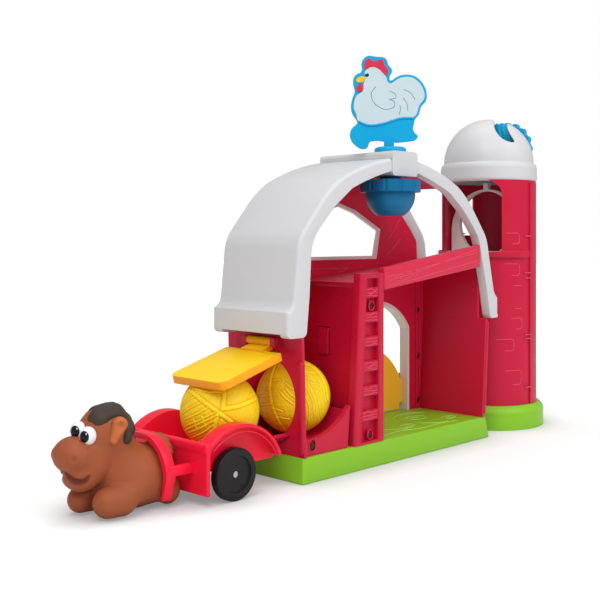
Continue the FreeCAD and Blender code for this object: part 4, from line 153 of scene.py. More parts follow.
# %% [markdown]
# ## Moulded plastic
# Injection-moulded plastic is smooth but never perfect: its colour drifts a little, its gloss is
# uneven, it has a fine skin, and its edges are rounded and catch the light, which is painted in as a paler
# colour along them. Each plastic could have its own nodes, but one group keeps them alike, and only the
# colour and a few numbers differ.
# %% What the surface group takes and gives
SKIN_HEIGHT = 0.00002
SKIN_SOCKETS = (
    ("INPUT", "Colour", "NodeSocketColor", None),
    ("INPUT", "Drift", "NodeSocketFloat", 0.05),
    ("INPUT", "Gloss low", "NodeSocketFloat", 0.30),
    ("INPUT", "Gloss high", "NodeSocketFloat", 0.42),
    ("INPUT", "Edge radius", "NodeSocketFloat", 0.0006),
    ("INPUT", "Edge light", "NodeSocketFloat", 0.35),
    ("INPUT", "Skin height", "NodeSocketFloat", SKIN_HEIGHT),
    ("OUTPUT", "Colour", "NodeSocketColor", None),
    ("OUTPUT", "Roughness", "NodeSocketFloat", None),
    ("OUTPUT", "Normal", "NodeSocketVector", None),
)
skin = bpy.data.node_groups.new("moulded_skin", "ShaderNodeTree")
for way, name, kind, value in SKIN_SOCKETS:
    made = skin.interface.new_socket(name=name, in_out=way, socket_type=kind)
    if value is not None:
        made.default_value = value
given = add(skin, "NodeGroupInput").outputs
print("moulded_skin takes", len(given) - 1, "values")

# %% Cloudy colour with a painted highlight on its edges
where = add(skin, "ShaderNodeTexCoord").outputs["Object"]
slow = add(skin, "ShaderNodeTexNoise", {"Vector": where, "Scale": 28.0, "Detail": 3.0})
centred = add(skin, "ShaderNodeMath", {0: slow.outputs["Fac"], 1: 0.5}, operation="SUBTRACT")
drift = add(skin, "ShaderNodeMath", {
    0: centred.outputs[0], 1: given["Drift"], 2: 1.0}, operation="MULTIPLY_ADD")
drifted = add(skin, "ShaderNodeVectorMath", {
    0: given["Colour"], "Scale": drift.outputs[0]}, operation="SCALE")
round_edge = add(skin, "ShaderNodeBevel", {"Radius": given["Edge radius"]}, samples=4)
shape = add(skin, "ShaderNodeNewGeometry")
match = add(skin, "ShaderNodeVectorMath", {
    0: round_edge.outputs["Normal"], 1: shape.outputs["Normal"]}, operation="DOT_PRODUCT")
# Painted highlight: where the rounded normal turns away from the true one, the colour is mixed towards a
# paler one.
edge = add(skin, "ShaderNodeMapRange", {
    "Value": match.outputs["Value"], "From Min": 1.0, "From Max": 0.85}, clamp=True)
edge_highlight_share = add(skin, "ShaderNodeMath", {
    0: edge.outputs["Result"], 1: given["Edge light"]}, operation="MULTIPLY")
edge_highlight_colour = add(skin, "ShaderNodeVectorMath", {
    0: drifted.outputs[0], 1: (0.75, 0.75, 0.75), 2: (0.12, 0.12, 0.12)}, operation="MULTIPLY_ADD")
blend = add(skin, "ShaderNodeMix", {
    "Factor": edge_highlight_share.outputs[0], "A": drifted.outputs[0], "B": edge_highlight_colour.outputs[0]}, data_type="RGBA")
print("moulded_skin nodes for the colour:", len(skin.nodes))

# %% Uneven gloss and a fine skin
gloss = add(skin, "ShaderNodeMapRange", {
    "Value": slow.outputs["Fac"], "From Min": 0.3, "From Max": 0.7,
    "To Min": given["Gloss low"], "To Max": given["Gloss high"]}, clamp=True)
fine = add(skin, "ShaderNodeTexNoise", {"Vector": where, "Scale": 1500.0, "Detail": 2.0})
bump = add(skin, "ShaderNodeBump", {
    "Distance": given["Skin height"], "Height": fine.outputs["Fac"], "Normal": round_edge.outputs["Normal"]})
add(skin, "NodeGroupOutput", {
    "Colour": blend.outputs["Result"], "Roughness": gloss.outputs["Result"],
    "Normal": bump.outputs["Normal"]})
print("moulded_skin nodes:", len(skin.nodes))

# %% [markdown]
# ## The plastics
# The barn is hard and glossy, the horse is soft vinyl that lets some light in, and the rooster is printed.
# Each is the shared surface with a colour, a gloss and a painted highlight on its edges.
# %% A plastic


def moulded(name, screen_colour, gloss_range=(0.30, 0.42), drift_share=0.05, edge_light=0.35,
            edge_radius=0.0006, glow=0.0):
    """A plastic of one screen colour on the shared skin; glow lets light wander under the surface."""
    material = bpy.data.materials.new(name)
    material.use_nodes = True
    net = material.node_tree
    plastic = add(net, "ShaderNodeGroup", {
        "Colour": linear(*screen_colour), "Drift": drift_share, "Gloss low": gloss_range[0],
        "Gloss high": gloss_range[1], "Edge radius": edge_radius, "Edge light": edge_light,
        "Skin height": SKIN_HEIGHT}, node_tree=skin)
    shader = net.nodes["Principled BSDF"]
    for source, target in (("Colour", "Base Color"), ("Roughness", "Roughness"), ("Normal", "Normal")):
        net.links.new(plastic.outputs[source], shader.inputs[target])
    shader.inputs["Specular IOR Level"].default_value = 0.26
    shader.inputs["Subsurface Weight"].default_value = glow
    shader.inputs["Subsurface Scale"].default_value = 0.004
    material.diffuse_color = linear(*screen_colour)
    return material


barn_red = moulded("barn_red_plastic", (200, 20, 58))
roof_white = moulded("roof_white_plastic", (208, 208, 210), edge_light=0.2, drift_share=0.03)
grass_green = moulded("grass_green_plastic", (138, 200, 44))
sky_blue = moulded("sky_blue_plastic", (0, 164, 215), edge_light=0.15)
rotor_blue = moulded("rotor_blue_plastic", (0, 104, 150), edge_light=0.1)
# The loft beam is the barn's red plastic; this lighter copy of it is painted light on the high beam.
beam_lit_red = moulded("beam_red_painted_light", (214, 44, 74))
# Raised lines are moulded in the wall's own red; their lighter red is a painted highlight on the ridges.
ridge_highlight_red = moulded("ridge_red_painted_highlight", (226, 66, 96))
line_grey = moulded("feather_line_print", (74, 90, 108))
# Painted shade: a dark red for the deep inside of the screw wells.
well_shade_red = moulded("well_painted_shade", (84, 10, 24), edge_light=0.0)
# The grass swirls are moulded in the base's own green; their lighter green is a painted highlight on the
# ridges.
ridge_highlight_green = moulded("ridge_green_painted_highlight", (166, 220, 84))
ear_tan = moulded("ear_tan_vinyl", (192, 104, 58), gloss_range=(0.5, 0.62))
print_white = moulded("rooster_white_print", (196, 212, 219), drift_share=0.03)
comb_red = moulded("comb_red_print", (212, 48, 76))
beak_yellow = moulded("beak_yellow_print", (240, 190, 40))
flap_yellow = moulded("flap_yellow_plastic", (255, 206, 20))
hay_yellow = moulded("hay_yellow_plastic", (255, 228, 26), gloss_range=(0.38, 0.5))
# The doors are orange plastic, painted brighter as painted light where the window lets light onto them.
door_orange_lit = moulded("door_orange_painted_light", (255, 190, 52))
# The far wall is the barn's red plastic; this lighter copy paints in the light that reaches its inside from
# the front.
facade_lit_red = moulded("facade_red_painted_light", (218, 26, 68))
# The trims are white plastic, painted lighter and pinkish: painted light with a painted reflection of the red
# walls round them.
trim_white_lit = moulded("trim_white_painted_light", (236, 226, 222), edge_light=0.2, drift_share=0.03)
cart_red = moulded("cart_red_plastic", (244, 24, 58))
tyre_black = moulded("tyre_black_plastic", (24, 24, 26), gloss_range=(0.35, 0.5))
horse_brown = moulded("horse_brown_vinyl", (158, 82, 48), gloss_range=(0.5, 0.62), glow=0.08)
mane_brown = moulded("mane_brown_vinyl", (66, 54, 44), gloss_range=(0.5, 0.65))
eye_white = moulded("eye_white_paint", (236, 238, 240), gloss_range=(0.2, 0.3))
print_black = moulded("black_paint", (16, 16, 18), gloss_range=(0.2, 0.3))
board_green = moulded("board_green_lacquer", (20, 92, 44))
cell_black = moulded("cell_sleeve", (46, 46, 52), gloss_range=(0.25, 0.35))
speaker_black = moulded("speaker_black_paper", (28, 28, 30), gloss_range=(0.6, 0.75))
pin_steel = moulded("pin_steel", (190, 190, 194), gloss_range=(0.22, 0.34), edge_radius=0.0002)
pin_steel.node_tree.nodes["Principled BSDF"].inputs["Metallic"].default_value = 1.0
print("materials:", len(bpy.data.materials))

# %% [markdown]
# ## Finishes on the solids
# Most of the toy is hard moulded plastic whose solids already have the right shape, so they stay as
# they are and only get their finish. A table of names could be replaced by clicking each piece, but the
# table can be read at a glance, and names that it misses are printed.
# %% Give every solid its plastic
FINISHES = {
    facade_lit_red: ("front_wall",),
    trim_white_lit: ("window_trim", "door_trim", "silo_gate"),
    barn_red: ("left_wall", "right_wall", "roof_lining", "ladder_tower", "loft_floor", "loft_beam",
               "ramp", "sound_trigger", "silo_left_half", "silo_right_half"),
    roof_white: ("roof_shell", "ridge_cap", "silo_dome", "power_knob", "vane_spindle"),
    grass_green: ("base_shell", "base_plate", "battery_door", "silo_foot"),
    sky_blue: ("vane_frame", "dome_wheel"),
    rotor_blue: ("vane_rotor",),
    print_white: ("vane_body",),
    comb_red: ("vane_comb",),
    beak_yellow: ("vane_beak",),
    print_black: ("vane_eye",),
    flap_yellow: ("exit_flap",),
    hay_yellow: ("chute_ball", "cart_ball"),
    door_orange_lit: ("left_door", "right_door"),
    cart_red: ("cart_body", "cart_yoke"),
    tyre_black: ("cart_wheels", "sound_switch"),
    horse_brown: ("horse_body",),
    mane_brown: ("horse_mane", "horse_tail"),
    eye_white: ("horse_eyes",),
    board_green: ("circuit_board",),
    cell_black: ("batteries",),
    speaker_black: ("speaker",),
    pin_steel: ("base_screws", "battery_contacts", "door_pins", "flap_pin", "dome_axle", "cart_axle"),
}
for material, names in FINISHES.items():
    for name in names:
        mesh = nodes[name].data
        mesh.materials.clear()
        mesh.materials.append(material)
left_bare = set(nodes) - {name for names in FINISHES.values() for name in names}
print("nodes without a finish:", left_bare or "none")

# %% [markdown]
# ## Making surfaces
# Moulded detail is raised or sunk by less than a millimetre, so it is worked out as points on the
# surface that carries it. Such points could be pushed by hand, but a formula lets one number move them
# all. All sizes here are millimetres in the toy's own frame.
# %% A piece from points
import bmesh

MM = 0.001


def shown(mesh, name, material, body, stands_for=()):
    """The object of a finished mesh, smooth, at the origin, riding a body of the toy."""
    mesh.polygons.foreach_set("use_smooth", np.ones(len(mesh.polygons), bool))
    mesh.materials.append(material)
    made = bpy.data.objects.new(name, mesh)
    scene.collection.objects.link(made)
    if stands_for:
        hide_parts(*stands_for)
    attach(made, body)
    return made


def piece(name, points, faces, material, body, finish, stands_for=(), **values):
    """A closed mesh of points in millimetres. Faces are arrays of corner numbers; values are named numbers,
    one for each point, for its material."""
    mesh = bpy.data.meshes.new(name)
    rows = [row for part in faces for row in part.tolist()]
    mesh.from_pydata((np.asarray(points) * MM).tolist(), [], rows)
    for key, numbers in values.items():
        mesh.attributes.new(key, "FLOAT", "POINT").data.foreach_set("value", np.asarray(numbers, float))
    shell = bmesh.new()
    shell.from_mesh(mesh)
    bmesh.ops.remove_doubles(shell, verts=shell.verts, dist=1e-7)
    bmesh.ops.recalc_face_normals(shell, faces=shell.faces)
    shell.to_mesh(mesh)
    shell.free()
    shown(mesh, name, material, body, stands_for)
    print(name, "faces:", len(mesh.polygons))


def points_of(mesh):
    """A mesh's points in millimetres, one in a row."""
    flat = np.zeros(len(mesh.vertices) * 3)
    mesh.vertices.foreach_get("co", flat)
    return flat.reshape(-1, 3) * 1000


print("base's points:", len(points_of(nodes["base_shell"].data)))

# %% [markdown]
# ## Runs and raised lines
# A mould is cut with a round tool, so a raised line has a round top and round ends. Its middle runs
# smoothly through a few corners, and a row of points across the line is carried along it. A bump in the
# shader would be lighter, but it is lost where the toy's outline turns away.
# %% A smooth run


def unit(rows):
    """Rows divided by their own lengths."""
    return rows / np.linalg.norm(rows, axis=-1, keepdims=True)


def along(corners, count):
    """A smooth run through the corners: between two of them it is a cubic whose slope at each corner is
    half the step from the corner before it to the corner after it."""
    corners = np.asarray(corners, float)
    padded = np.vstack([2 * corners[0] - corners[1], corners, 2 * corners[-1] - corners[-2]])
    place = np.linspace(0, len(corners) - 1, count)
    first = np.minimum(place.astype(int), len(corners) - 2)
    share = (place - first)[:, None]
    before, here, ahead, after = (padded[first + step] for step in range(4))
    return (2 * here + (ahead - before) * share + (2 * before - 5 * here + 4 * ahead - after) * share ** 2
            + (3 * here - 3 * ahead + after - before) * share ** 3) / 2


print("a run through 3 corners:", along([(0, 0), (1, 1), (2, 0)], 5).round(2).tolist())

# %% A raised line
SUNK = 0.35


def ribbon(path, normals, width, height, sunk=SUNK, sides=6):
    """A raised line. Across the path, the point at angle a stands cos(a) of half the width to the side
    and sin(a) of the height above the surface, and its foot is sunk; both ends are drawn in round."""
    path = np.asarray(path, float)
    normals = np.broadcast_to(np.asarray(normals, float), path.shape)
    side = unit(np.cross(np.gradient(path, axis=0), normals))
    gone = np.concatenate([[0], np.cumsum(np.linalg.norm(np.diff(path, axis=0), axis=1))])
    to_end = np.minimum(np.minimum(gone, gone[-1] - gone) / (width / 2), 1)
    share = np.maximum(np.sqrt(1 - (1 - to_end) ** 2), 0.15)[:, None, None]
    angle = np.linspace(0, np.pi, sides)[None, :, None]
    points = path[:, None] + share * (
        side[:, None] * np.cos(angle) * width / 2 + normals[:, None] * np.sin(angle) * (height + sunk))
    points -= normals[:, None] * sunk
    ring, spot = np.meshgrid(np.arange(len(path) - 1), np.arange(sides), indexing="ij")
    after = (spot + 1) % sides
    quads = np.stack([ring, ring, ring + 1, ring + 1], -1) * sides + np.stack([spot, after, after, spot], -1)
    ends = np.array([range(sides), range((len(path) - 1) * sides, len(path) * sides)])
    return points.reshape(-1, 3), quads.reshape(-1, 4), ends


def ridges(name, runs, material, body, finish):
    """Many raised lines as one piece, their corner numbers counted on from one line to the next."""
    points, quads, ends = zip(*runs)
    starts = np.cumsum([0] + [len(run) for run in points])
    quads = np.vstack([part + start for part, start in zip(quads, starts)])
    ends = np.vstack([part + start for part, start in zip(ends, starts)])
    piece(name, np.vstack(points), (quads, ends), material, body, finish)


def plate(back, front):
    """A closed plate between two outlines of equally many points: one face for each step along them and a
    flat face on either side."""
    count = len(back)
    spot = np.arange(count)
    after = (spot + 1) % count
    sides = np.stack([spot, after, after + count, spot + count], -1)
    return np.vstack([back, front]), sides, np.array([spot, spot + count])


print("raised lines are sunk by", SUNK, "mm")

# %% [markdown]
# ## Soft edges
# Thick mouldings have broad round edges that catch a long highlight. These pieces keep the outline of
# their solids and have every sharp edge rounded. The shader fakes a round edge on the small pieces, but a
# broad one has to be in the mesh, because it changes the outline.
# %% Rounded copies of the solids


def softened(node, radius, material, body, segments=3, reshape=None, rounder=()):
    """A copy of a solid, its flat faces joined, with its sharp edges rounded by a radius in millimetres.
    Rounder holds choices of edges that get larger radii first. Reshape turns the copy's points, in
    millimetres, into the finished ones."""
    mesh = bpy.data.meshes.new(node + "_soft")
    shell = bmesh.new()
    shell.from_mesh(nodes[node].data)
    bmesh.ops.remove_doubles(shell, verts=shell.verts, dist=1e-6)
    bmesh.ops.dissolve_limit(shell, angle_limit=math.radians(1.0), verts=shell.verts, edges=shell.edges)
    bmesh.ops.recalc_face_normals(shell, faces=shell.faces)
    for chosen, larger in rounder:
        edges = [edge for edge in shell.edges if len(edge.link_faces) == 2 and chosen(edge)]
        bmesh.ops.bevel(shell, geom=edges, offset=larger * MM, segments=6, profile=0.5, affect="EDGES",
                        clamp_overlap=False)
        print(node, "edges with a radius of", larger, ":", len(edges))
    shell.to_mesh(mesh)
    shell.free()
    if reshape:
        mesh.vertices.foreach_set("co", reshape(points_of(mesh)).ravel() * MM)
    made = shown(mesh, node + "_soft", material, body, (node,))
    round_off = made.modifiers.new("round_edges", "BEVEL")
    round_off.width = radius * MM
    round_off.segments = segments
    round_off.limit_method = "ANGLE"
    round_off.angle_limit = math.radians(32)
    round_off.use_clamp_overlap = True
    round_off.harden_normals = True
    print(node, "points before rounding:", len(mesh.vertices))


softened("exit_flap", 1.6, flap_yellow, "flap", 4)
softened("cart_body", 1.0, cart_red, "cart")
softened("cart_yoke", 1.4, cart_red, "cart")
softened("loft_beam", 1.0, beam_lit_red, "barn")

# %% [markdown]
# ## The roof, the ladder and the base
# A big moulding is not equally round everywhere. The roof's sheet bends softly where it turns down, its
# arches end in thick rims, and the ladder's rails are rounder than its rungs. Each such edge is found by
# where it lies and which way it runs, and gets a radius of its own before the rest is rounded.
# %% Choosing edges


def ends_of(edge):
    """The two ends of an edge in millimetres."""
    return (corner.co * 1000 for corner in edge.verts)


def crease(low, high):
    """Chooses the bends that run along Y between two heights."""
    def chosen(edge):
        start, end = ends_of(edge)
        level = abs(start.x - end.x) < 0.1 and abs(start.z - end.z) < 0.1
        return level and low < start.z < high and 0.2 < edge.calc_face_angle(0) < 1.0
    return chosen


def roof_outline(edge):
    """Chooses the outer edges of the two end arches."""
    start, end = ends_of(edge)
    across = [face for face in edge.link_faces if abs(face.normal.y) > 0.9]
    over = [face for face in edge.link_faces if face not in across]
    elsewhere = abs(start.y) < 50 or abs(start.y - end.y) > 0.1
    if elsewhere or len(across) != 1 or across[0].normal.y * start.y < 0:
        return False
    outward = over[0].normal.x * (start.x + 3) + over[0].normal.z * (start.z - 150)
    return outward > 0 and over[0].normal.z > -0.3


def arch_foot(edge):
    """Chooses the corners under the arches' feet."""
    start, end = ends_of(edge)
    return max(start.z, end.z) < 118.5 and abs(start.x - end.x) < 0.1 and edge.calc_face_angle(0) > 1.2


def rail_edge(edge):
    """Chooses the long upright edges at the open side."""
    start, end = ends_of(edge)
    return abs(start.z - end.z) > 60 and max(start.y, end.y) < -45 and edge.calc_face_angle(0) > 1.0


ROOF_EDGES = ((crease(185, 205), 9.0), (crease(240, 250), 6.0), (crease(142, 155), 2.6), (arch_foot, 4.6),
              (roof_outline, 3.0))
RAIL_EDGES = ((rail_edge, 2.0),)
print("radii on the roof:", [radius for chosen, radius in ROOF_EDGES], "mm")

# %% Reshaped copies
ARCH_FOOT_TOP = 178
RUNG_RISE = 8.0
FRAME_LEAN, FRAME_TALL, FRAME_TOP = 4.8, 145, 166
BASE_TOP = 21.0


def slim_leg(points):
    """The arch's right leg drawn in towards its outer edge and a little outwards, most at its foot."""
    x, y, z = points.T
    share = np.interp(z, (117, 150, ARCH_FOOT_TOP), (0.66, 0.8, 1.0))
    leg = (x > 108) & (y < -30) & (z < ARCH_FOOT_TOP)
    aside = 4.0 * np.clip((ARCH_FOOT_TOP - z) / 40, 0, 1)
    return np.column_stack([np.where(leg, 143 - (143 - x) * share + aside, x), y, z])


def upright_frame(points):
    """The ladder's right rail stands upright, and the whole frame leans by the same amount less. Its rungs
    stand higher."""
    x, y, z = points.T
    rungs = (x > -70) & (x < -37.5) & (y < -40) & (z > 30) & (z < 150)
    lean = FRAME_LEAN * np.clip((FRAME_TOP - z) / FRAME_TALL, 0, 1)
    return np.column_stack([x + lean, y, z + RUNG_RISE * rungs])


def flared_base(points):
    """The base's front right corner runs out to the right and flares towards the floor."""
    x, y, z = points.T
    corner = (x > 100) & (y < -40)
    flare = 3.5 + 6.0 * (BASE_TOP - z) / BASE_TOP
    return np.column_stack([np.where(corner, x + flare, x), y, z])


softened("roof_shell", 1.6, roof_white, "barn", 4, slim_leg, ROOF_EDGES)
softened("base_shell", 2.6, grass_green, "barn", 4, flared_base)
softened("ladder_tower", 1.0, barn_red, "barn", 3, upright_frame, RAIL_EDGES)

# %% [markdown]
# ## Painted shade that follows the relief
# Grooves are painted darker and warmer, as painted shade where light sinks in; the relief's own numbers
# drive it. The upright faces of the thin flap are painted a deeper orange, as painted shade. A painted
# image could do the same, but it would need the balls and the horse to be unwrapped.
# %% Two colours in one plastic


def go_over(material, factor, shade_colour):
    """The plastic's own colour where the factor is one, and a painted shade colour where it is zero."""
    net = material.node_tree
    own = next(node for node in net.nodes if node.type == "GROUP").inputs["Colour"]
    mix = add(net, "ShaderNodeMix", {
        "Factor": factor, "A": linear(*shade_colour), "B": own.default_value}, data_type="RGBA")
    net.links.new(mix.outputs["Result"], own)


# The raised number on each point is one on the open surface and lower in grooves, the mouth and the nostrils;
# there the deeper colour is painted shade.
for material, groove_shade_colour in ((hay_yellow, (240, 172, 8)), (horse_brown, (108, 44, 28))):
    relief = add(material.node_tree, "ShaderNodeAttribute", attribute_name="raised")
    go_over(material, relief.outputs["Fac"], groove_shade_colour)
# Painted shade: the flap's upright faces are painted a deeper orange than its tops, by which way each face
# turns.
net = flap_yellow.node_tree
facing = add(net, "ShaderNodeNewGeometry")
facing_axes = add(net, "ShaderNodeSeparateXYZ", {0: facing.outputs["Normal"]})
level = add(net, "ShaderNodeMapRange", {
    "Value": facing_axes.outputs["Z"], "From Min": 0.3, "From Max": 0.9}, clamp=True)
go_over(flap_yellow, level.outputs["Result"], (250, 168, 12))
print("tinted: hay, horse, flap")

# %% [markdown]
# ## The two hay balls
# The balls are moulded as round bales: cords run round them and loose stalks lie between the cords.
# A ball has the same drawing on its far side, turned about its middle. Rings of points would crowd at
# the poles, so the ball grows out of a cube, whose squares stay even.
# %% Balls
BALL_SKIN = 31.3
BALL_ROWS = 116


def cube_ball(rows):
    """Directions spread evenly over a ball: the square grid of each side of a cube, with x and y set to
    tan(pi x / 4) and tan(pi y / 4), pulled to length one. Returns directions and faces."""
    step = np.tan(np.linspace(-1, 1, rows) * np.pi / 4)
    across, up = np.meshgrid(step, step, indexing="ij")
    flat = np.stack([across, up, np.ones_like(up)], -1).reshape(-1, 3)
    sides = [flat[:, order] * sign for order in ([0, 1, 2], [2, 0, 1], [1, 2, 0]) for sign in (1.0, -1.0)]
    row, column = np.meshgrid(np.arange(rows - 1), np.arange(rows - 1), indexing="ij")
    first = (row * rows + column).ravel()
    quads = np.stack([first, first + 1, first + rows + 1, first + rows], -1)
    return unit(np.vstack(sides)), np.vstack([quads + side * rows * rows for side in range(6)])


def nearest(directions, centre, curves):
    """How far each point of the skin is, in millimetres, from the nearest of the curves. A curve is drawn
    in shares of the radius on the side of the ball that faces the open corner, to the right and up."""
    away = unit(np.array(EYE) * 1000 - centre)
    right = unit(np.cross(away, (0.0, 0.0, -1.0)))
    up = np.cross(right, -away)
    drawn = np.vstack([along(curve, 36) for curve in curves])
    deep = np.sqrt(np.clip(1 - (drawn ** 2).sum(1), 0, 1))
    on_ball = unit(drawn[:, :1] * right + drawn[:, 1:] * up + deep[:, None] * away)
    match = np.abs(directions @ on_ball.T).max(axis=1)
    return np.sqrt(np.maximum(2 - 2 * match, 0)) * BALL_SKIN


def hay_ball(node, body, centre, cords, stalks):
    """Raised cords of flat top between two grooves, and thin raised stalks each beside a shadow line."""
    directions, quads = cube_ball(BALL_ROWS)
    cord = nearest(directions, centre, cords)
    stalk = nearest(directions, centre, stalks)
    wave = np.prod([np.sin(directions @ way) for way in ((31, 9, 14), (-8, 27, 19), (12, -17, 33))], axis=0)
    relief = (0.5 * np.exp(-(cord / 1.5) ** 4) - 0.4 * np.exp(-((cord - 2.1) / 0.5) ** 2)
              + 0.45 * np.exp(-(stalk / 0.6) ** 2) - 0.35 * np.exp(-((stalk - 1.2) / 0.5) ** 2) + 0.12 * wave)
    points = np.asarray(centre) + directions * (BALL_SKIN + relief)[:, None]
    # Points in the grooves get a raised number under one, which paints them a deeper orange as painted shade.
    piece(node + "_hay", points, (quads,), hay_yellow, body, "yellow_plastic", (node,),
          raised=np.clip(0.75 + relief * 1.6, 0, 1))


hay_ball("cart_ball", "loaded_ball", (-178.2, -4.5, 59.1), [
    [(-0.80, 0.56), (-0.20, 0.08), (0.42, -0.38), (0.60, -0.60)],
    [(0.07, 0.04), (0.50, 0.12), (0.90, 0.30)],
    [(0.05, 0.90), (0.10, 0.40), (0.07, 0.04)],
    [(-0.05, -0.07), (-0.12, -0.35), (-0.16, -0.60), (-0.14, -0.90)],
], [
    [(-0.84, -0.44), (-0.50, -0.30), (-0.06, -0.10)], [(-0.82, -0.34), (-0.48, -0.21), (-0.14, -0.04)],
    [(-0.80, -0.52), (-0.50, -0.42), (-0.12, -0.22)], [(-0.70, -0.64), (-0.42, -0.52), (-0.16, -0.34)],
    [(-0.88, -0.20), (-0.60, -0.08), (-0.30, 0.08)], [(-0.93, -0.04), (-0.70, 0.10), (-0.46, 0.22)],
    [(-0.56, -0.76), (-0.36, -0.64), (-0.20, -0.46)], [(-0.64, -0.18), (-0.54, -0.48)],
    [(-0.44, -0.12), (-0.34, -0.38)], [(-0.96, 0.10), (-0.82, 0.26), (-0.62, 0.36)],
    [(-0.50, 0.74), (-0.20, 0.66), (0.02, 0.66)], [(-0.62, 0.58), (-0.30, 0.48), (0.04, 0.46)],
    [(0.20, 0.80), (0.50, 0.66)], [(0.24, -0.60), (0.50, -0.52)],
])
hay_ball("chute_ball", "waiting_ball", (-99.6, -8.5, 62.3), [
    [(-0.50, 0.80), (-0.60, 0.50), (-0.62, 0.14), (-0.54, -0.30), (-0.36, -0.71), (-0.20, -0.90)],
    [(-0.16, 0.94), (0.30, 0.88), (0.66, 0.66), (0.86, 0.30), (0.93, -0.10)],
], [
    [(-0.21, 0.20), (-0.06, 0.04), (0.10, -0.08)], [(-0.22, 0.34), (-0.04, 0.20), (0.14, 0.10)],
    [(-0.34, 0.10), (-0.20, -0.06), (0.02, -0.22)], [(-0.92, 0.20), (-0.62, 0.16)],
    [(-0.96, 0.0), (-0.62, 0.02)], [(-0.93, -0.24), (-0.58, -0.20)], [(-0.60, 0.40), (-0.36, 0.42)],
    [(-0.56, -0.30), (-0.28, -0.40)], [(-0.44, -0.54), (-0.10, -0.60)],
    [(0.35, 0.50), (0.60, 0.12), (0.72, -0.30)],
    [(0.30, 0.30), (0.50, -0.10), (0.56, -0.56)], [(0.28, 0.05), (0.42, -0.30), (0.40, -0.76)],
    [(0.56, 0.56), (0.80, 0.20), (0.86, -0.18)], [(0.48, 0.36), (0.72, 0.26), (0.60, 0.08)],
    [(0.70, 0.42), (0.90, 0.10)], [(0.26, -0.20), (0.30, -0.55), (0.24, -0.86)], [(0.30, 0.66), (0.62, 0.60)],
    [(0.66, -0.10), (0.72, -0.44), (0.62, -0.70)], [(0.20, 0.60), (0.34, 0.30)],
])

# %% [markdown]
# ## The horse
# The horse is one soft vinyl casting: a round body lying on folded legs, a big head with a blunt
# muzzle and an open smile. Soft castings have no edges, so the shape is blended from round masses. It
# could be sculpted, but a mass can still be moved later by its numbers.
# %% A surface round a field


def surface_net(field, low, step):
    """The surface where a field on a grid changes sign. Every cell it passes through gives one point, the
    mean of the crossings on the cell's twelve edges, and every crossed grid edge gives one face joining
    the four cells round it. A crossing lies at the share f0 / (f0 - f1) of its edge."""
    cells = tuple(length - 1 for length in field.shape)
    total = np.zeros(cells + (3,))
    hits = np.zeros(cells)
    edges = []
    for axis in range(3):
        first = field[tuple(slice(0, -1) if other == axis else slice(None) for other in range(3))]
        last = field[tuple(slice(1, None) if other == axis else slice(None) for other in range(3))]
        crossed = (first < 0) != (last < 0)
        place = np.stack(np.meshgrid(*map(np.arange, first.shape), indexing="ij"), -1).astype(float)
        place[..., axis] += np.where(crossed, first / np.where(crossed, first - last, 1.0), 0.0)
        u, v = (other for other in range(3) if other != axis)
        for to_u in (0, 1):
            for to_v in (0, 1):
                cut = [slice(None)] * 3
                cut[u] = slice(to_u, to_u + cells[u])
                cut[v] = slice(to_v, to_v + cells[v])
                hits += crossed[tuple(cut)]
                total += place[tuple(cut)] * crossed[tuple(cut)][..., None]
        edges.append((crossed, u, v))
    live = hits > 0
    number = np.zeros(cells, int)
    number[live] = np.arange(live.sum())
    quads = []
    for crossed, u, v in edges:
        spot = np.argwhere(crossed)
        corners = []
        for back_u, back_v in ((1, 1), (0, 1), (0, 0), (1, 0)):
            cell = spot.copy()
            cell[:, u] -= back_u
            cell[:, v] -= back_v
            corners.append(number[tuple(cell.T)])
        quads.append(np.stack(corners, -1))
    return np.asarray(low) + step * total[live] / hits[live][:, None], np.vstack(quads)


small_ball = np.linalg.norm(np.indices((9, 9, 9)) - 4.0, axis=0) - 3
print("the net round a small ball has", len(surface_net(small_ball, (0, 0, 0), 1.0)[0]), "points")

# %% Round masses


def egg(at, centre, radii):
    """About how far points are outside an egg with three half axes: with k the length of the offset over
    the half axes and m that over their squares, k (k - 1) / m."""
    offset = at - np.asarray(centre, float)
    near = np.linalg.norm(offset / radii, axis=-1)
    return near * (near - 1) / np.maximum(np.linalg.norm(offset / np.square(radii), axis=-1), 1e-6)


def bar(at, start, end, radius, end_radius=None):
    """How far points are outside a round bar from start to end whose radius may change along it."""
    start, end = np.asarray(start, float), np.asarray(end, float)
    share = np.clip((at - start) @ (end - start) / ((end - start) @ (end - start)), 0, 1)
    thick = radius + share * ((radius if end_radius is None else end_radius) - radius)
    return np.linalg.norm(at - start - share[..., None] * (end - start), axis=-1) - thick


def melt(one, other, reach):
    """Two shapes run into each other: where they are nearer than the reach the join is filled round."""
    share = np.clip(0.5 + 0.5 * (other - one) / reach, 0, 1)
    return other + (one - other) * share - reach * share * (1 - share)


print("1 mm beside an egg:", float(egg(np.array([3.0, 0, 0]), (0, 0, 0), (2, 4, 5))), "mm outside it")

# %% A piece cast from a shape


def cast(name, low, high, step, shape, material, finish, stands_for=(), tint=None, body="horse"):
    """The closed surface of a shape inside a box of the frame, on a grid with a step."""
    grid = np.stack(np.meshgrid(*(np.arange(a, b, step) for a, b in zip(low, high)), indexing="ij"), -1)
    points, quads = surface_net(shape(grid), low, step)
    raised = np.ones(len(points)) if tint is None else tint(points)
    piece(name, points, (quads,), material, body, finish, stands_for, raised=raised)


def near_line(at, line):
    """How far points are from a line given by close points on it."""
    return np.min([np.linalg.norm(at - spot, axis=-1) for spot in line], axis=0)


print("a point 3 mm over a line is", float(near_line(np.array([1.0, 0, 3]), np.eye(3)[:1])), "mm from it")

# %% [markdown]
# ## Body, head and legs
# The body is a bar and an egg, the head a pile of eggs for the skull, the muzzle and the chin, and the legs
# are bars folded under it. Round masses that melt into each other give the smooth folds of a soft toy.
# %% Masses of the horse
MID = -1.5


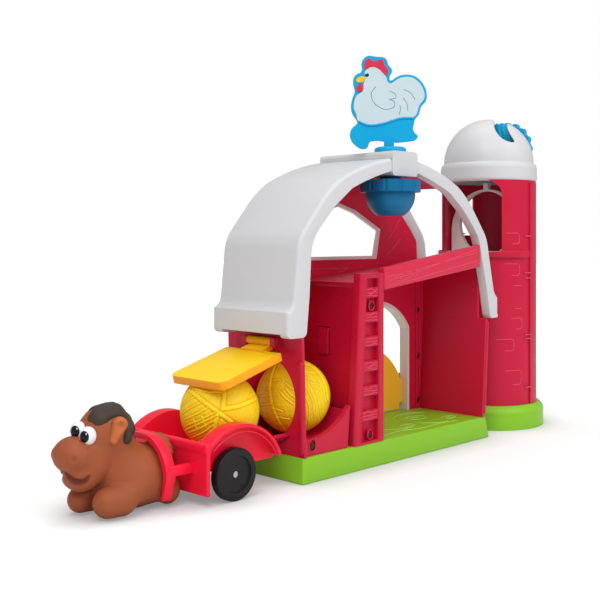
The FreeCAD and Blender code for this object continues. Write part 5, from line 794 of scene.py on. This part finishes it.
def horse_mass(at):
    """The horse without its face, on both sides of its middle plane."""
    trunk = bar(at, (-272, MID, 22.6), (-252, MID, 22.6), 21.9)
    body = melt(trunk, egg(at, (-262, -4, 22.8), (29, 24.5, 22.4)), 4)
    neck = egg(at, (-276, MID, 42), (17, 17, 17))
    head = egg(at, (-286, MID, 56), (18.5, 17.5, 20))
    shape = melt(melt(body, neck, 7), head, 5)
    shape = melt(shape, egg(at, (-309, MID, 45), (15.2, 16, 13)), 5)
    shape = melt(shape, egg(at, (-297.5, MID, 39), (16.5, 16.5, 17)), 4)
    shape = melt(shape, egg(at, (-303.5, MID, 31), (14, 14.5, 12.3)), 3)
    for side in (-1, 1):
        haunch = egg(at, (-240, MID + side * 15.5, 11), (9.5, 9, 10.5))
        hip = egg(at, (-250, MID + side * 12, 19), (15, 13, 15))
        shape = melt(melt(shape, haunch, 3), hip, 4)
        shape = melt(shape, bar(at, (-270, MID + side * 18, 18), (-282, MID + side * 19, 12), 9.5), 4)
    near_leg = bar(at, (-283, -19.5, 12.0), (-293, -18.5, 11.6), 11.3, 10.8)
    far_leg = bar(at, (-286, 7.0, 11.2), (-299, 6.5, 10.6), 10.6, 9.4)
    return melt(melt(shape, near_leg, 2.2), far_leg, 2.2)


def settle(points, shape):
    """Points moved onto the skin of a shape: five steps, each by the shape's value against its slope."""
    for step in range(5):
        value = shape(points)
        slope = np.stack([shape(points + 0.2 * axis) - value for axis in np.eye(3)], -1) / 0.2
        points = points - (value / np.maximum((slope ** 2).sum(-1), 1e-6))[:, None] * slope
    return points


print("the horse's middle plane stands at Y", MID, "mm")

# %% [markdown]
# ## The smile
# The mouth is a shallow groove round the chin that is widest in its middle, and each nostril is a low ring.
# Both are cut into the shape before its surface is made, so they have soft lips like a casting.
# %% Horse
SMILE = along([(-320.8, -3.1, 34.6), (-318.2, -7.0, 31.2), (-313.6, -10.8, 28.4), (-309.2, -13.4, 28.8),
               (-306.2, -14.6, 32.2)], 24)
MOUTH = settle(SMILE, horse_mass)
MOUTHS = (MOUTH, MOUTH * (1, -1, 1) + (0, 2 * MID, 0))
MOUTH_RADIUS = 0.5 + 1.8 * np.sin(np.linspace(0, np.pi, len(MOUTH)))
NOSTRILS = ((-317.9, -14.5, 45.4), (-317.9, 11.5, 45.4))


def mouth_gap(at, line):
    """How far points are outside the open smile, which is widest in its middle."""
    return np.min([np.linalg.norm(at - spot, axis=-1) - radius for spot, radius in zip(line, MOUTH_RADIUS)],
                  axis=0)


def horse_shape(at):
    """The masses with the mouth cut in, raised by a bell of 0.9 mm round each nostril's ring."""
    shape = horse_mass(at)
    for line in MOUTHS:
        shape = -melt(-shape, mouth_gap(at, line), 0.8)
    for spot in NOSTRILS:
        ring = np.abs(np.linalg.norm(at - spot, axis=-1) - 3.4)
        shape = shape - 0.9 * np.exp(-(ring / 1.2) ** 2)
    return shape


def horse_mouth_shade(points):
    """The share of the brown's own colour: zero deep in the mouth, about a half in a nostril and one
    elsewhere; the rest is painted shade.
    """
    mouth = np.minimum(*(mouth_gap(points, line) for line in MOUTHS))
    return np.clip(np.minimum((mouth + 0.1) / 1.2, 0.55 + near_line(points, NOSTRILS) / 5), 0, 1)


cast("horse_casting", (-330, -36, -2), (-224, 30, 86), 0.9, horse_shape, horse_brown, "brown_plastic",
     ("horse_body",), horse_mouth_shade)

# %% [markdown]
# ## Ears, mane and tail
# The ears are paler vinyl with a hollow. The mane is a thick roll combed back over the crown, and the tail
# curls up behind the harness. Shallow waves on both stand for locks of hair.
# %% Ears, mane and tail


def ears_shape(at):
    """Two bars that widen upwards, each with a smaller bar taken out of its outer side."""
    ears = []
    for side in (-1, 1):
        ear = bar(at, (-288.5, MID + side * 17.0, 54.5), (-283.6, MID + side * 17.6, 65.0), 3.2, 5.6)
        hollow = bar(at, (-291.0, MID + side * 22.6, 56.5), (-286.6, MID + side * 23.6, 64.4), 1.8, 4.0)
        ears.append(-melt(-ear, hollow, 0.8))
    return np.minimum(*ears)


def mane_shape(at):
    """A thick roll over the crown, a strip behind each ear and one down the neck."""
    shape = bar(at, (-291.6, -6.6, 68.4), (-281, -5, 69.6), 8.7, 8.4)
    shape = melt(shape, bar(at, (-280, -4, 68.6), (-271, -2, 61), 8.6, 8.8), 4)
    shape = melt(shape, bar(at, (-288, 3, 69.5), (-276, 3, 68), 6.5, 9), 4)
    shape = melt(shape, bar(at, (-271.5, -11.5, 60), (-276, -15.4, 54.5), 5.6, 4.8), 3)
    shape = melt(shape, bar(at, (-271.5, 8.5, 60), (-276, 12.4, 54.5), 5.6, 4.8), 3)
    shape = melt(shape, bar(at, (-268, MID, 60), (-264.5, MID, 48), 6.5, 4), 4)
    lock = np.sin(at[..., 1] * 0.55 + at[..., 2] * 0.5 + 1.2 * np.sin(at[..., 0] * 0.14))
    return shape - 0.4 * lock


def tail_shape(at):
    """All points nearer than 4.9 mm to the curl, give or take its lobes."""
    curl = along([(-243.6, 0, 38), (-241.0, -1, 45), (-239.0, -5, 46.0), (-237.9, -9.5, 43.2),
                  (-237.6, -12.6, 37.4), (-238.2, -13.0, 32)], 30)
    lobe = 0.6 * np.sin(at[..., 1] * 0.8) * np.sin(at[..., 2] * 0.8)
    return near_line(at, curl) - 4.9 - lobe


cast("horse_ears", (-300, -30, 44), (-270, 28, 78), 0.6, ears_shape, ear_tan, "brown_plastic")
cast("horse_mane_casting", (-306, -24, 40), (-246, 24, 84), 0.8, mane_shape, mane_brown, "dark_brown_plastic",
     ("horse_mane",))
cast("horse_tail_casting", (-252, -20, 24), (-230, 8, 54), 0.7, tail_shape, horse_brown, "brown_plastic",
     ("horse_tail",))

# %% [markdown]
# ## Eyes
# Two white balls sit on the brow with black pupils and a painted highlight on each. The pupils are eggs
# pushed out of the white ones along the gaze, which gives them a crisp round outline.
# %% Eyes
EYES = ((-303.8, -10.0, 58.6), (-304.6, 0.4, 61.0))
EYE_BOX = ((-312, -20, 48), (-292, 14, 70))
GAZE = unit(np.array([-0.86, -0.42, 0.05]))


def eggs_on_eyes(shift, radii):
    """A shape of two eggs, one on each eye, moved by a shift."""
    return lambda at: np.minimum(*(egg(at, eye + shift, radii) for eye in EYES))


cast("horse_eye_whites", *EYE_BOX, 0.5, eggs_on_eyes(GAZE * 0, (5.9, 5.9, 6.6)), eye_white, "white_plastic",
     ("horse_eyes",))
cast("horse_pupils", *EYE_BOX, 0.4, eggs_on_eyes(GAZE * 1.5, (4.8, 4.8, 5.4)), print_black, "black_plastic")
# Painted highlight: a small steel dot up and to the side on each pupil.
cast("horse_eye_painted_highlights", *EYE_BOX, 0.25, eggs_on_eyes(GAZE * 5.9 + (1.3, -1.6, 2.0), (0.7, 0.7, 0.9)),
     pin_steel, "white_plastic")

# %% [markdown]
# ## Masonry on the silo
# The silo's shell is drawn with a few rounded stones, each only an outline of a raised line. They are
# drawn flat, by angle and height, and then wrapped round the wall, so each line follows its bend.
# %% Stones and bands
SILO_MIDDLE = np.array([205.3, -2.0])
SILO_RADIUS, BAND_RADIUS = 49.5, 51.1
LINE_HEIGHT = 0.45


def on_silo(degrees, height, radius=SILO_RADIUS):
    """Points of the silo's wall at angles round its axis, and the wall's normals there."""
    turn = np.radians(np.asarray(degrees, float))
    normals = np.stack([np.cos(turn), np.sin(turn), np.zeros_like(turn)], -1)
    ground = SILO_MIDDLE + normals[:, :2] * radius
    return np.column_stack([ground, np.broadcast_to(height, turn.shape)]), normals


def stone(left, right, low, high):
    """An outline open at its left end: along the top, round the corner, down and back along the foot."""
    turn = min(2.2, (high - low) / 2)
    swing = np.degrees(turn / SILO_RADIUS)
    path = [(left, high)] + [(a, high) for a in np.linspace(left + 2, right - swing, 8)]
    path += [(right, high - turn), (right, low + turn)]
    path += [(a, low) for a in np.linspace(right - swing, left + (right - left) * 0.45, 5)]
    drawn = along(path, 60)
    return ribbon(*on_silo(drawn[:, 0], drawn[:, 1]), 1.1, LINE_HEIGHT)


def streak(left, right, height, radius=SILO_RADIUS, width=1.1):
    """A level line round the wall from one angle to another."""
    return ribbon(*on_silo(np.linspace(left, right, 14), height, radius), width, LINE_HEIGHT)


OUTLINES = ((-128.4, -107.7, 157.5, 169.4), (-119.5, -104.0, 102.5, 113.5), (-138.0, -116.0, 80.2, 92.1),
            (-127.7, -105.5, 45.2, 59.9), (-126.0, -108.0, 190.0, 201.0))
STREAKS = ((-115.8, -104.0, 147.0), (-114.7, -104.0, 123.5))
stones = []
for shift in (0, 64, 128, 190):
    stones += [stone(left + shift, right + shift, low, high) for left, right, low, high in OUTLINES]
    stones += [streak(left + shift, right + shift, height) for left, right, height in STREAKS]
BAND_HEIGHTS = (41.8, 92.0, 96.0, 154.6, 160.0, 198.0)
bands = [streak(-100.5, -87.5, height, BAND_RADIUS, 1.3) for height in BAND_HEIGHTS]
ridges("silo_stones", stones + bands, ridge_highlight_red, "barn", "red_plastic")

# %% [markdown]
# ## Timber on the ladder and the loft
# The ladder's rungs and the loft's beam are moulded as cut timber, with raised grain. Noise would give
# grain too, but a mould maker cuts a few bold strokes, so each stroke is drawn.
# %% Lines on upright faces
FRONT = -51.5
FAR_FACE = 26.5
WALL_END = 24.5
TOWARD = (0.0, -1.0, 0.0)


def on_face(across, up, depth):
    """Points on an upright face that looks out of the open side, drawn in X and Z."""
    return np.column_stack([across, np.full(len(across), depth), up])


def flat_line(corners, depth, width=0.9, height=0.4, count=18, sunk=SUNK):
    """A raised line on such a face."""
    return ribbon(on_face(*along(corners, count).T, depth), TOWARD, width, height, sunk)


print("the open side's faces stand at Y", FRONT, "mm")

# %% Grain
RUNG_STEP, FIRST_RUNG = 20.9, 37
grain = []
for index in range(6):
    share = (16 + RUNG_STEP * index) / FRAME_TALL
    middle = FIRST_RUNG + RUNG_STEP * index + RUNG_RISE
    left = -60.3 + 8.5 * share
    right = -39.3 - 0.2 * share
    for rise in (-2.7, -0.1, 2.5):
        lean = 0.8 * math.sin(2.3 * index + rise)
        level = middle + rise
        grain.append(flat_line([
            (left, level), (left * 0.62 + right * 0.38, level + lean),
            (left * 0.3 + right * 0.7, level - lean), (right, level + lean / 2)], FRONT + 0.8, 1.0, 0.6))
for low, high in ((158.6, 185.0), (154.5, 174.0), (162.4, 182.0)):
    rise = high - low
    grain.append(flat_line([(-26, low), (10, low + rise * 0.22), (52, low + rise * 0.55), (112, high)],
                           FRONT, 1.1, LINE_HEIGHT, 40))
for size in (1.0, 0.55):
    turn = np.linspace(0.3, 2 * np.pi + 0.1, 40)
    across, up = 18 * size * np.cos(turn), 3.1 * size * np.sin(turn)
    grain.append(ribbon(on_face(across, 162.5 + up + across * 0.17, FRONT), TOWARD, 1.0, LINE_HEIGHT))
ridges("timber_grain", grain, ridge_highlight_red, "barn", "red_plastic")

# %% [markdown]
# ## Screw wells and bosses
# The halves are screwed together from the open side, through deep wells that look dark. A raised rim runs
# round each, and the silo side wall has two upright ribs between its wells. A dark disc in the mouth of
# a well is painted shade: it stands for the dark depth better than the little of its wall that can be seen.
# %% Wells
WELLS = ((-47.5, 28.0, FRONT + 2.4, 2.6, 1.25), (-45.6, 138.0, FRONT + 2.4, 2.8, 1.1),
         (-118.2, 29.3, FRONT + 3.0, 3.2, 1.35), (116.0, 122.4, WALL_END, 2.2, 1.2),
         (116.0, 74.9, WALL_END, 2.2, 1.2), (116.0, 30.2, WALL_END, 2.2, 1.2))


def disc(x, z, depth, radius, tall):
    """A low round plate, its front drawn in by a twenty-fifth; tall is its height over its width."""
    turn = np.linspace(0, 2 * np.pi, 32, endpoint=False)
    ring = np.column_stack([np.cos(turn), np.zeros(32), tall * np.sin(turn)]) * radius
    return plate(ring + (x, depth + 0.3, z), ring * 0.96 + (x, depth - 0.3, z))


def well_rim(x, z, depth, radius, tall):
    """A raised line round a well."""
    turn = np.linspace(0.0, 2 * np.pi, 40)
    reach = radius + 0.7
    return ribbon(on_face(x + reach * np.cos(turn), z + reach * tall * np.sin(turn), depth), TOWARD, 1.4, 0.8)


ridges("screw_well_shade_discs", [disc(*well) for well in WELLS], well_shade_red, "barn", "red_plastic")
ribs = [flat_line([(117.5, low), (117.5, high)], WALL_END, 2.4, 1.6) for low, high in ((36, 69), (81, 116))]
ridges("screw_rims", [well_rim(*well) for well in WELLS] + ribs, barn_red, "barn", "red_plastic")

# %% [markdown]
# ## Planks and beads
# The far wall is drawn with a few joints between planks, and the two side walls end in a thick bead
# towards the open side. Both are the same raised line as the grain, wider or lower.
# %% Planks
PLANKS = ([(71.4, 195), (88.9, 215.2)], [(67.4, 178.1), (90.5, 196)],
          [(-22.4, 156.1), (-6, 162.5), (11.2, 167.4)], [(-60, 167.4), (11, 167.4)])
planks = [flat_line(corners, FAR_FACE, 0.9, 0.5) for corners in PLANKS]
ridges("plank_lines", planks, ridge_highlight_red, "barn", "red_plastic")

# %% Beads
beads = [flat_line(corners, FRONT, width, 1.2, 30, 4.0) for corners, width in (
    ([(122.6, 22), (128.6, 117)], 6.0), ([(-129.8, 22), (-131.8, 99)], 5.2))]
ridges("wall_edge_beads", beads, barn_red, "barn", "red_plastic")

# %% [markdown]
# ## The cart
# The cart's front is one wall as wide as the fenders with a thick lip, and each fender has a broad and a
# thin raised line along its bend. The wall and its lip are two boxes with round edges, melted together,
# because two joined meshes wouldn't have the round corner under the lip.
# %% Front of the cart


def block(at, low, high, radius):
    """How far points are outside a box with rounded edges."""
    middle, half = (np.array(low) + high) / 2, (np.array(high) - low) / 2 - radius
    past = np.abs(at - middle) - half
    return np.linalg.norm(np.maximum(past, 0), axis=-1) + np.minimum(past.max(-1), 0) - radius


def cart_front_shape(at):
    """The wall and the lip along its top."""
    wall = block(at, (-229.6, -50.2, 8.6), (-226.2, 47.2, 45), 1.2)
    lip = block(at, (-230.4, -50.2, 39.6), (-224.6, 47.2, 47), 2.4)
    return melt(wall, lip, 2)


cast("cart_front_lip", (-234, -54, 5), (-221, 51, 51), 0.8, cart_front_shape, cart_red, "pink_red_plastic",
     body="cart")

# %% Rims of the cart
FENDER_MIDDLE = (-195.9, 11.3)
FENDER_TURN = np.radians(np.linspace(27, 133, 60))
rims = []
for depth, facing in ((-49.5, -1.0), (46.5, 1.0)):
    for radius, width in ((44.3, 2.8), (40.2, 1.0)):
        path = on_face(FENDER_MIDDLE[0] + radius * np.cos(FENDER_TURN),
                       FENDER_MIDDLE[1] + radius * np.sin(FENDER_TURN), depth)
        rims.append(ribbon(path, (0.0, facing, 0.0), width, 0.7))
ridges("cart_fender_rims", rims, cart_red, "cart", "pink_red_plastic")

# %% [markdown]
# ## Grass on the base
# The base's top is moulded with swirls of grass: flattened spirals and a few long sweeps. A curve could
# be drawn by hand for each, but one formula for a spiral serves them all.
# %% Swirls
UP = (0.0, 0.0, 1.0)


def blade(across, along_base):
    """A raised line on the base's top."""
    path = np.column_stack([across, along_base, np.full(len(across), BASE_TOP)])
    return ribbon(path, UP, 1.2, LINE_HEIGHT)


def swirl(x, y, size, turn_from, turns, flat=0.6):
    """A spiral on the level top: its radius grows with the angle, and Y is flattened."""
    turn = np.linspace(turn_from, turn_from + turns * 2 * np.pi, 44)
    radius = size * (0.25 + 0.75 * (turn - turn_from) / (turns * 2 * np.pi))
    return blade(x + radius * np.cos(turn), y + flat * radius * np.sin(turn))


SWIRLS = ((72, -8, 17, 0.4, 1.4), (36, -26, 13, 2.6, 1.3), (98, -28, 11, 1.2, 1.2), (6, -8, 12, 0.0, 1.2))
SWEEPS = ([(-20, -40), (8, -36), (36, -42), (64, -40), (92, -44)], [(46, -2), (58, 10), (80, 14), (104, 6)],
          [(-24, -24), (-8, -20), (10, -26), (24, -36)], [(54, -18), (60, -32), (80, -38), (104, -16)])
grass = [swirl(*numbers) for numbers in SWIRLS] + [blade(*along(corners, 30).T) for corners in SWEEPS]
ridges("grass_swirls", grass, ridge_highlight_green, "barn", "green_plastic")

# %% [markdown]
# ## The silo's dome
# The dome is one soft cap on a broad brim. A smooth scoop in its right side bares the toothed wheel
# that turns in a slot. Cutting a ball with another gives a sharp edge, so the scoop is taken out of the
# shape before its surface is made, which leaves the round lip of a moulded cap.
# %% Dome
DOME_MIDDLE = np.array([205.3, -2.0, 275.8])
DOME_OUTSIDE, DOME_INSIDE = 47.2, 44.7
BRIM_LOW, BRIM_TOP, BRIM_OUT = 254.9, 276, 3.1
SCOOP_MIDDLE, SCOOP_RADIUS = (224.8, -22.0, 320.0), 21
WHEEL_MIDDLE = np.array([228.5, -10.5, 291.5])
SLOT_RADIUS, SLOT_HALF = 33, 4.8


def dome_shape(at):
    """A ball and a brim, less a scoop with a rounded lip, the wheel's slot and the hollow inside."""
    offset = at - DOME_MIDDLE
    reach = np.hypot(offset[..., 0], offset[..., 1])
    cap = np.linalg.norm(offset, axis=-1) - DOME_OUTSIDE
    skirt = np.maximum(reach - DOME_OUTSIDE, np.abs(at[..., 2] - 268) - 8)
    rise = np.clip((at[..., 2] - BRIM_LOW) / 3, 0, 1) * np.clip((BRIM_TOP - at[..., 2]) / 6, 0, 1)
    brim = np.maximum(reach - 47.5 - BRIM_OUT * np.sqrt(rise), np.abs(at[..., 2] - 264.5) - 9.5)
    shape = melt(np.minimum(cap, skirt), brim, 1.6)
    hollow = np.minimum(np.linalg.norm(offset, axis=-1) - DOME_INSIDE,
                        np.maximum(reach - DOME_INSIDE, at[..., 2] - BRIM_TOP))
    from_scoop = at - SCOOP_MIDDLE
    aside = from_scoop @ np.array([0.533, -0.846, 0.0])
    above = from_scoop @ np.array([-0.08, -0.05, 1.0])
    lens_edge = -8.2 + 7.6 * np.clip((-4 - above) / 16, 0, 1) ** 1.5
    scoop = np.maximum(np.hypot(aside, np.minimum(above, 0)) - SCOOP_RADIUS, aside - lens_edge)
    from_wheel = at - WHEEL_MIDDLE
    slot = np.maximum(np.hypot(from_wheel[..., 1], from_wheel[..., 2]) - SLOT_RADIUS,
                      np.abs(from_wheel[..., 0]) - SLOT_HALF)
    shape = -melt(-shape, scoop, 2.5)
    return np.maximum(np.maximum(shape, -slot), -hollow)


cast("silo_dome_cap", (150, -57, 251), (262, 54, 327), 0.9, dome_shape, roof_white, "white_plastic",
     ("silo_dome",), body="barn")

# %% [markdown]
# ## The toothed wheel
# The wheel turns on an axle under the scoop, and a narrower rim on the same axle shows at the scoop's left.
# Its teeth are low and round, like the milling of a thumb wheel. The wheel is its own solid with its
# points drawn towards the axle, and the rim is a plate between two toothed outlines.
# %% Wheel and left rim
WHEEL_SHARE = 0.93
WHEEL_AXIS = WHEEL_MIDDLE * (0, 1, 1)
TEETH, TOOTH_HEIGHT, RIM_RADIUS = 26, 0.8, 27.2
RIM_SIDES = ((212.5, 0, 0), (216.5, 0, 0))


def low_teeth(points):
    """The wheel a little smaller round its axis, so that it stands less far out of the dome."""
    return WHEEL_AXIS + (points - WHEEL_AXIS) * (1, WHEEL_SHARE, WHEEL_SHARE)


softened("dome_wheel", 0.4, sky_blue, "dome_wheelset", 2, low_teeth)
turn = np.linspace(0, 2 * np.pi, TEETH * 6, endpoint=False)
tooth = RIM_RADIUS + TOOTH_HEIGHT * np.clip(1.6 * np.cos(turn * TEETH), -1, 1)
rim = np.column_stack([np.zeros_like(turn), tooth * np.cos(turn), tooth * np.sin(turn)]) + WHEEL_AXIS
points, sides, ends = plate(*(rim + side for side in RIM_SIDES))
piece("dome_wheel_left_rim", points, (sides, ends), sky_blue, "dome_wheelset", "blue_plastic")

# %% [markdown]
# ## Lines on the weathervane
# The rooster is a printed sheet set in a moulded frame: thin grey lines draw its wing and its tail, and
# the frame has a raised lip below it. An image could carry the lines, but a line raised by a hair needs
# none and stays sharp from close by.
# %% Rooster lines
VANE_AXIS = np.array([-3.0, -35.5, 0.0])
VANE_RIGHT = np.array([0.699, -0.716, 0.0])
VANE_FRONT = np.array([-0.716, -0.699, 0.0])
VANE_FOOT_TOP = 290


def vane_face(node):
    """How far in front of the vane's axis a solid's upright face stands, its round foot aside."""
    points = points_of(nodes[node].data)
    return ((points[points[:, 2] > VANE_FOOT_TOP] - VANE_AXIS) @ VANE_FRONT).max()


def vane_line(corners, width=0.55, height=0.15, count=30, node="vane_body"):
    """A raised line on a solid of the vane, drawn to the right of its axis and up."""
    drawn = along(corners, count)
    path = VANE_AXIS + drawn[:, :1] * VANE_RIGHT + drawn[:, 1:] * UP + vane_face(node) * VANE_FRONT
    return ribbon(path, VANE_FRONT, width, height, 0.2)


WING = [(-12.8, 332.0), (-17.4, 325.0), (-14.6, 316.6), (-6.4, 311.4), (1.8, 312.4), (3.4, 317.4),
        (-1.6, 320.4)]
feathers = [vane_line(WING, count=60),
            vane_line([(-1.0, 320.0), (4.6, 321.4), (3.2, 325.6), (-1.2, 327.4)], 0.5),
            vane_line([(11.4, 329.0), (17.6, 326.0), (22.0, 319.6)]),
            vane_line([(11.0, 321.8), (14.6, 316.0), (15.4, 309.4)]),
            vane_line([(8.2, 315.0), (8.8, 310.6), (7.4, 306.4)])]
ridges("rooster_feather_lines", feathers, line_grey, "vane", "blue_plastic")
eye = vane_line([(-20.9, 343.0), (-21.2, 341.7), (-21.4, 340.0)], 4.2, 0.7, 12)
ridges("rooster_eye", [eye], print_black, "vane", "black_plastic")
LIP = [(-29.0, 300.6), (-23.6, 298.0), (-16.7, 296.8), (-6.4, 298.4), (2.8, 301.3), (9.6, 303.2),
       (21.4, 303.2)]
ridges("vane_lip", [vane_line(LIP, 2.2, 1.2, 60, "vane_frame")], sky_blue, "vane", "blue_plastic")
print("vane face stands", round(vane_face("vane_body"), 2), "mm in front of its axis")

# %% [markdown]
# ## Floor
# A white floor carries the toy's soft shadow. It shows itself to the camera mostly as plain white, so
# that the picture has the open white ground of a catalogue. Right under the toy a darker contact shadow
# is painted in where the toy stands close by.
# %% Floor
FLOOR_REACH = 6.0
corners = [(x * FLOOR_REACH, y * FLOOR_REACH, 0.0) for x, y in ((-1, -1), (1, -1), (1, 1), (-1, 1))]
floor_mesh = bpy.data.meshes.new("studio_floor")
floor_mesh.from_pydata(corners, [], [(0, 1, 2, 3)])
floor = bpy.data.objects.new("studio_floor", floor_mesh)
scene.collection.objects.link(floor)
print("floor reaches", FLOOR_REACH, "m each way")

# %% White paint for the floor, with a painted contact shadow
floor_paint = bpy.data.materials.new("studio_white")
floor_paint.use_nodes = True
net = floor_paint.node_tree
net.nodes.clear()
plain = add(net, "ShaderNodeBsdfDiffuse", {"Color": (0.9, 0.9, 0.9, 1.0)})
lit = add(net, "ShaderNodeEmission", {"Color": WHITE, "Strength": 1.3})
rays = add(net, "ShaderNodeLightPath")
ground = add(net, "ShaderNodeTexCoord")
distance = add(net, "ShaderNodeVectorMath", {0: ground.outputs["Object"]}, operation="LENGTH")
fade = add(net, "ShaderNodeMapRange", {
    "Value": distance.outputs["Value"], "From Min": 0.25, "From Max": 0.75, "To Min": 0.26, "To Max": 1.0},
    clamp=True)
seen_share = add(net, "ShaderNodeMath", {
    0: rays.outputs["Is Camera Ray"], 1: fade.outputs["Result"]}, operation="MULTIPLY")
both = add(net, "ShaderNodeMixShader", {"Fac": seen_share.outputs[0], 1: plain.outputs[0], 2: lit.outputs[0]})
# Painted contact shadow: where ambient occlusion finds the toy close by, the floor is mixed towards black.
near = add(net, "ShaderNodeAmbientOcclusion", {"Distance": 0.035}, samples=12)
contact_shadow_share = add(net, "ShaderNodeMapRange", {
    "Value": near.outputs["AO"], "From Min": 0.45, "From Max": 1.0, "To Min": 0.34, "To Max": 0.0},
    clamp=True)
dark = add(net, "ShaderNodeEmission", {"Strength": 0.0})
shaded = add(net, "ShaderNodeMixShader", {
    "Fac": contact_shadow_share.outputs["Result"], 1: both.outputs[0], 2: dark.outputs[0]})
add(net, "ShaderNodeOutputMaterial", {"Surface": shaded.outputs[0]})
floor_mesh.materials.append(floor_paint)
print("floor nodes:", len(net.nodes))

print("done")
